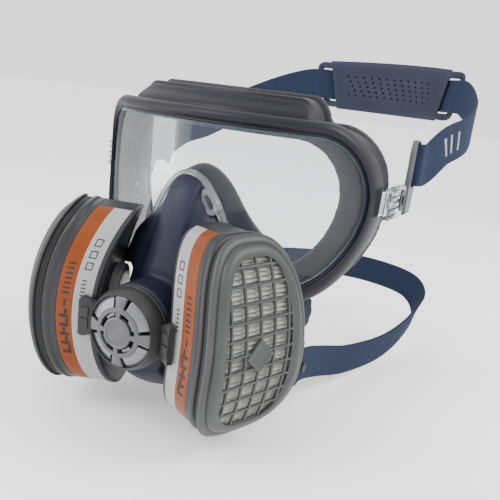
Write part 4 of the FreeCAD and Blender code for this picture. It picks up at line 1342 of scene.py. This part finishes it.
def pad_point(turn, z, share):
    """A point through the pad's thickness; the edges are soft and the top is crowned."""
    start, end = PAD_SPAN
    middle = 1 - ((turn - PAD_MIDDLE) / ((end - start) / 2)) ** 2
    edge = min(z - PAD_BOTTOM, PAD_TOP - z, 2.4 * (turn - start) + 1.2, 2.4 * (end - turn) + 1.2)
    soft = 0.8 * (1 - smoothstep(0, 2.6, edge))
    height = z + 2.6 * middle * (z - PAD_BOTTOM) / (PAD_TOP - PAD_BOTTOM)
    radius = PAD_THIN + soft + (PAD_THICK - PAD_THIN - 2 * soft) * share
    return loop_point(flared(turn, z), height, radius)


def hole_outline(turn, z):
    """Twelve (turn, height) points round a hole of the pad."""
    wide = HOLE_RADIUS / PAD_THIN * DEGREES_IN_A_RADIAN
    first = math.tau * -0.375
    return [(turn + wide * math.cos(t), z + HOLE_RADIUS * math.sin(t)) for t in angles(12, first)]


def pad_cells():
    """The pad's cells in staggered rows: their turns, their heights and whether they have a hole."""
    start, end = PAD_SPAN
    wide = (end - start) / PAD_COLUMNS
    tall = (PAD_TOP - PAD_BOTTOM) / PAD_ROWS
    cells = []
    for r in range(PAD_ROWS):
        for c in range(-1, PAD_COLUMNS + 1):
            a0 = start + (c + (0.5 if r % 2 else 0.0)) * wide
            a1 = a0 + wide
            if a1 <= start + 1e-6 or a0 >= end - 1e-6:
                continue
            holed = 3 <= r <= 7 and 4 <= c <= PAD_COLUMNS - 5 and (c + r // 2) % 2 == 0
            low, high = PAD_BOTTOM + r * tall, PAD_BOTTOM + (r + 1) * tall
            cells.append((max(a0, start), min(a1, end), low, high, holed))
    return cells


def pad_face(cells, share):
    """One face of the pad: one polygon for a plain cell, and six round a hole."""
    points, faces, index = [], [], {}

    def spot(turn, z):
        """The number of the vertex at a place, made when it is first asked for."""
        key = (round(turn, 4), round(z, 4))
        if key not in index:
            index[key] = len(points)
            points.append(pad_point(turn, z, share))
        return index[key]

    for a0, a1, z0, z1, holed in cells:
        mid = (a0 + a1) / 2
        corners = [spot(*p) for p in ((a0, z0), (mid, z0), (a1, z0), (a1, z1), (mid, z1), (a0, z1))]
        if not holed:
            faces.append(corners)
            continue
        ring = [spot(*p) for p in hole_outline(mid, (z0 + z1) / 2)]
        for e in range(6):
            arc = [ring[k % 12] for k in (2 * e + 2, 2 * e + 1, 2 * e)]
            faces.append([corners[e], corners[(e + 1) % 6]] + arc)
    return points, faces


def pad_wall(outline):
    """A wall through the pad along a closed (turn, height) outline."""
    return strip([[pad_point(turn, z, share) for turn, z in outline] for share in (0.0, 1.0)])


def make_head_pad():
    """The curved pad: a panel with staggered holes and a framed strap slot at each end."""
    cells = pad_cells()
    parts = [pad_face(cells, share) for share in (0.0, 1.0)]
    for a0, a1, z0, z1, holed in cells:
        if holed:
            parts.append(pad_wall(hole_outline((a0 + a1) / 2, (z0 + z1) / 2)))
    start, end = PAD_SPAN
    corners = [(start, PAD_BOTTOM), (end, PAD_BOTTOM), (end, PAD_TOP), (start, PAD_TOP)]
    border = []
    counts = (2 * PAD_COLUMNS, PAD_ROWS, 2 * PAD_COLUMNS, PAD_ROWS)
    for (a0, z0), (a1, z1), count in zip(corners, corners[1:] + corners[:1], counts):
        border += [(a0 + (a1 - a0) * i / count, z0 + (z1 - z0) * i / count) for i in range(count)]
    parts.append(pad_wall(border))
    pad = piece("pad_panel", *join(parts), PAD_NAVY, "head_pad", "pad_silicone", crease_angle=40)
    clean(pad.data, weld=0.02)
    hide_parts("head_pad")
    make_pad_ends()


PAD_BOW = [
    (-1.6, 100.1, 100.8), (0.0, 100.2, 101.0), (1.4, 100.3, 102.4), (2.6, 100.3, 104.4),
    (3.8, 99.9, 105.9), (4.7, 98.6, 106.5), (5.1, 96.3, 106.6), (5.1, 92.0, 106.6), (5.1, 84.0, 106.6),
]


def make_pad_ends():
    """The rounded frames that the strap is threaded through, swept in one bow at each end."""
    bow = PAD_BOW + [(turn, PAD_BOTTOM + PAD_TOP - z, r) for turn, z, r in PAD_BOW[-2::-1]]
    parts = []
    for end, way in zip(PAD_SPAN, (-1, 1)):
        line = through([loop_point(flared(end + way * turn, z), z, r) for turn, z, r in bow], 4)
        rings = []
        for i, at in enumerate(line):
            ahead = heading(line, i)
            out = Vector((at.x - LOOP_CENTRE[0], at.y - LOOP_CENTRE[1], 0)).normalized()
            wide = ahead.cross(out).normalized()
            thin = wide.cross(ahead).normalized()
            turns = [(squarish(math.cos(a), 0.6), squarish(math.sin(a), 0.6)) for a in angles(12)]
            rings.append([at + wide * 2.7 * c + thin * 1.05 * s for c, s in turns])
        parts.append(strip(rings, caps=True))
    ends = piece("pad_slot_frames", *join(parts), PAD_NAVY, "head_pad", "pad_silicone", crease_angle=60)
    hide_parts("head_pad")


def slab(outline, low, high, edge):
    """A plate with an outline of (back, up) points and chamfered rims."""
    cy, cz = (sum(v) / len(outline) for v in zip(*outline))
    rings = []
    for x, inset in ((low, edge), (low + edge, 0.0), (high - edge, 0.0), (high, edge)):
        rings.append([(x, *drawn_in(point, (cy, cz), inset)) for point in outline])
    return strip(rings, caps=True)


def drawn_in(point, centre, inset):
    """A point moved towards a centre by a distance."""
    dy, dz = point[0] - centre[0], point[1] - centre[1]
    length = math.hypot(dy, dz)
    share = (length - inset) / length
    return centre[0] + dy * share, centre[1] + dz * share


def edge_point(corners, centre, angle):
    """Where a ray from a centre leaves a polygon."""
    dy, dz = math.cos(angle), math.sin(angle)
    best = None
    for (ya, za), (yb, zb) in zip(corners, corners[1:] + corners[:1]):
        ey, ez = yb - ya, zb - za
        det = dy * -ez + ey * dz
        if abs(det) < 1e-12:
            continue
        py, pz = ya - centre[0], za - centre[1]
        reach = (py * -ez + ey * pz) / det
        along = (dy * pz - dz * py) / det
        if reach > 0 and -1e-9 <= along <= 1 + 1e-9:
            best = reach if best is None else min(best, reach)
    return centre[0] + dy * best, centre[1] + dz * best


BUCKLE_PLATE = [
    (33.6, 8.5), (43.9, 8.5), (46.0, 14.5), (46.0, 46.5), (43.9, 52.5), (33.6, 52.5), (31.5, 46.5),
    (31.5, 14.5),
]
BUCKLE_WINDOW = [(35.2, 25.1), (42.4, 25.1), (42.4, 51.3), (35.2, 51.3)]
BUCKLE_CENTRE = (38.8, 38.2)
PLATE_LEVELS = ((0.5, 92.9), (0.0, 93.4), (0.0, 94.9), (0.5, 95.5), (1.1, 95.9))
WINDOW_LEVELS = ((-0.25, 95.9), (0.0, 95.6), (0.0, 93.1), (-0.25, 92.9))


def make_buckle(side, sign):
    """The slide buckle: a faceted plate with pointed ends and a window, on a flat tongue."""
    turns = {round(a, 6) for a in angles(40)}
    for y, z in BUCKLE_PLATE + BUCKLE_WINDOW:
        turns.add(round(math.atan2(z - BUCKLE_CENTRE[1], y - BUCKLE_CENTRE[0]) % math.tau, 6))
    rings = []
    for corners, levels in ((BUCKLE_PLATE, PLATE_LEVELS), (BUCKLE_WINDOW, WINDOW_LEVELS)):
        edge = [edge_point(corners, BUCKLE_CENTRE, a) for a in sorted(turns)]
        for inset, x in levels:
            rings.append([(x, *drawn_in(point, BUCKLE_CENTRE, inset)) for point in edge])
    tongue = [(32.4, 11.1), (34.6, 11.1), (34.6, 23.9), (32.4, 23.9)]
    for a in (math.radians(90 + 15 * k) for k in range(13)):
        tongue.append((PIVOT_BACK + 6.4 * math.cos(a), 17.5 + 6.4 * math.sin(a)))
    heel = [(31.6, 11.2), (34.8, 11.2), (34.8, 23.8), (31.6, 23.8)]
    parts = [strip(rings, along=True), slab(tongue, 88.6, 91.6, 0.5), slab(heel, 89.0, 93.4, 0.3)]
    points, faces = join(parts)
    turn = buckle_turn(sign)
    points = [turn @ Vector((sign * x, y, z)) for x, y, z in points]
    buckle = piece(
        f"buckle_plate_{side}", points, faces, BUCKLE_GREY, "upper_harness", "buckle_plastic",
        crease_angle=28,
    )
    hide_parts(f"strap_buckle_{side}")


PIVOT_SECTION = (
    (2.0, 91.7, 1.15), (3.9, 91.7, 1.0), (3.9, 95.5, 1.0), (5.3, 95.55, 1.15), (5.5, 95.8, 1.15),
    (5.3, 96.2, 1.15), (4.3, 96.45, 1.15), (3.4, 96.3, 1.15), (2.6, 96.0, 1.15), (0.01, 95.9, 1.15),
)


def make_pivot(side, sign):
    """The dark turning boss, with a flange a little taller than wide, a dished top and a key."""
    rings = []
    for radius, x, stretch in PIVOT_SECTION:
        rings.append([
            (sign * x, PIVOT_BACK + radius * math.cos(a), PIVOT_UP + stretch * radius * math.sin(a))
            for a in angles(40)
        ])
    place = Matrix.Translation((sign * 96.1, PIVOT_BACK, PIVOT_UP))
    body = join([strip(rings, caps=True), moved(block((1.5, 1.1, 5.4), 0.3), place)])
    boss = piece(f"pivot_boss_{side}", *body, PIVOT_GREY_AND_SLOT_SHADE, "upper_harness", "pivot_plastic")
    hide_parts(f"bracket_pivot_{side}")


def make_harness():
    """Both straps, the pad, and on each side a buckle, a pivot, an arm and an anchor."""
    make_upper_strap()
    make_folds()
    make_neck_strap()
    make_head_pad()
    for side, sign in SIDES.items():
        make_buckle(side, sign)
        make_pivot(side, sign)
        bevelled(f"strap_bracket_{side}", f"clear_arm_{side}", 0.5, ARM_CLEAR)
        bevelled(f"neck_strap_anchor_{side}", f"cheek_anchor_{side}", 0.6, BLACK_RUBBER_AND_HOLLOW_SHADE)


make_camera()
make_studio()
make_bezel()
make_groove_shade()
make_lens_pegs()
make_nose_rim()
make_goggles()
make_facepiece()
make_filters()
make_valve()
make_harness()
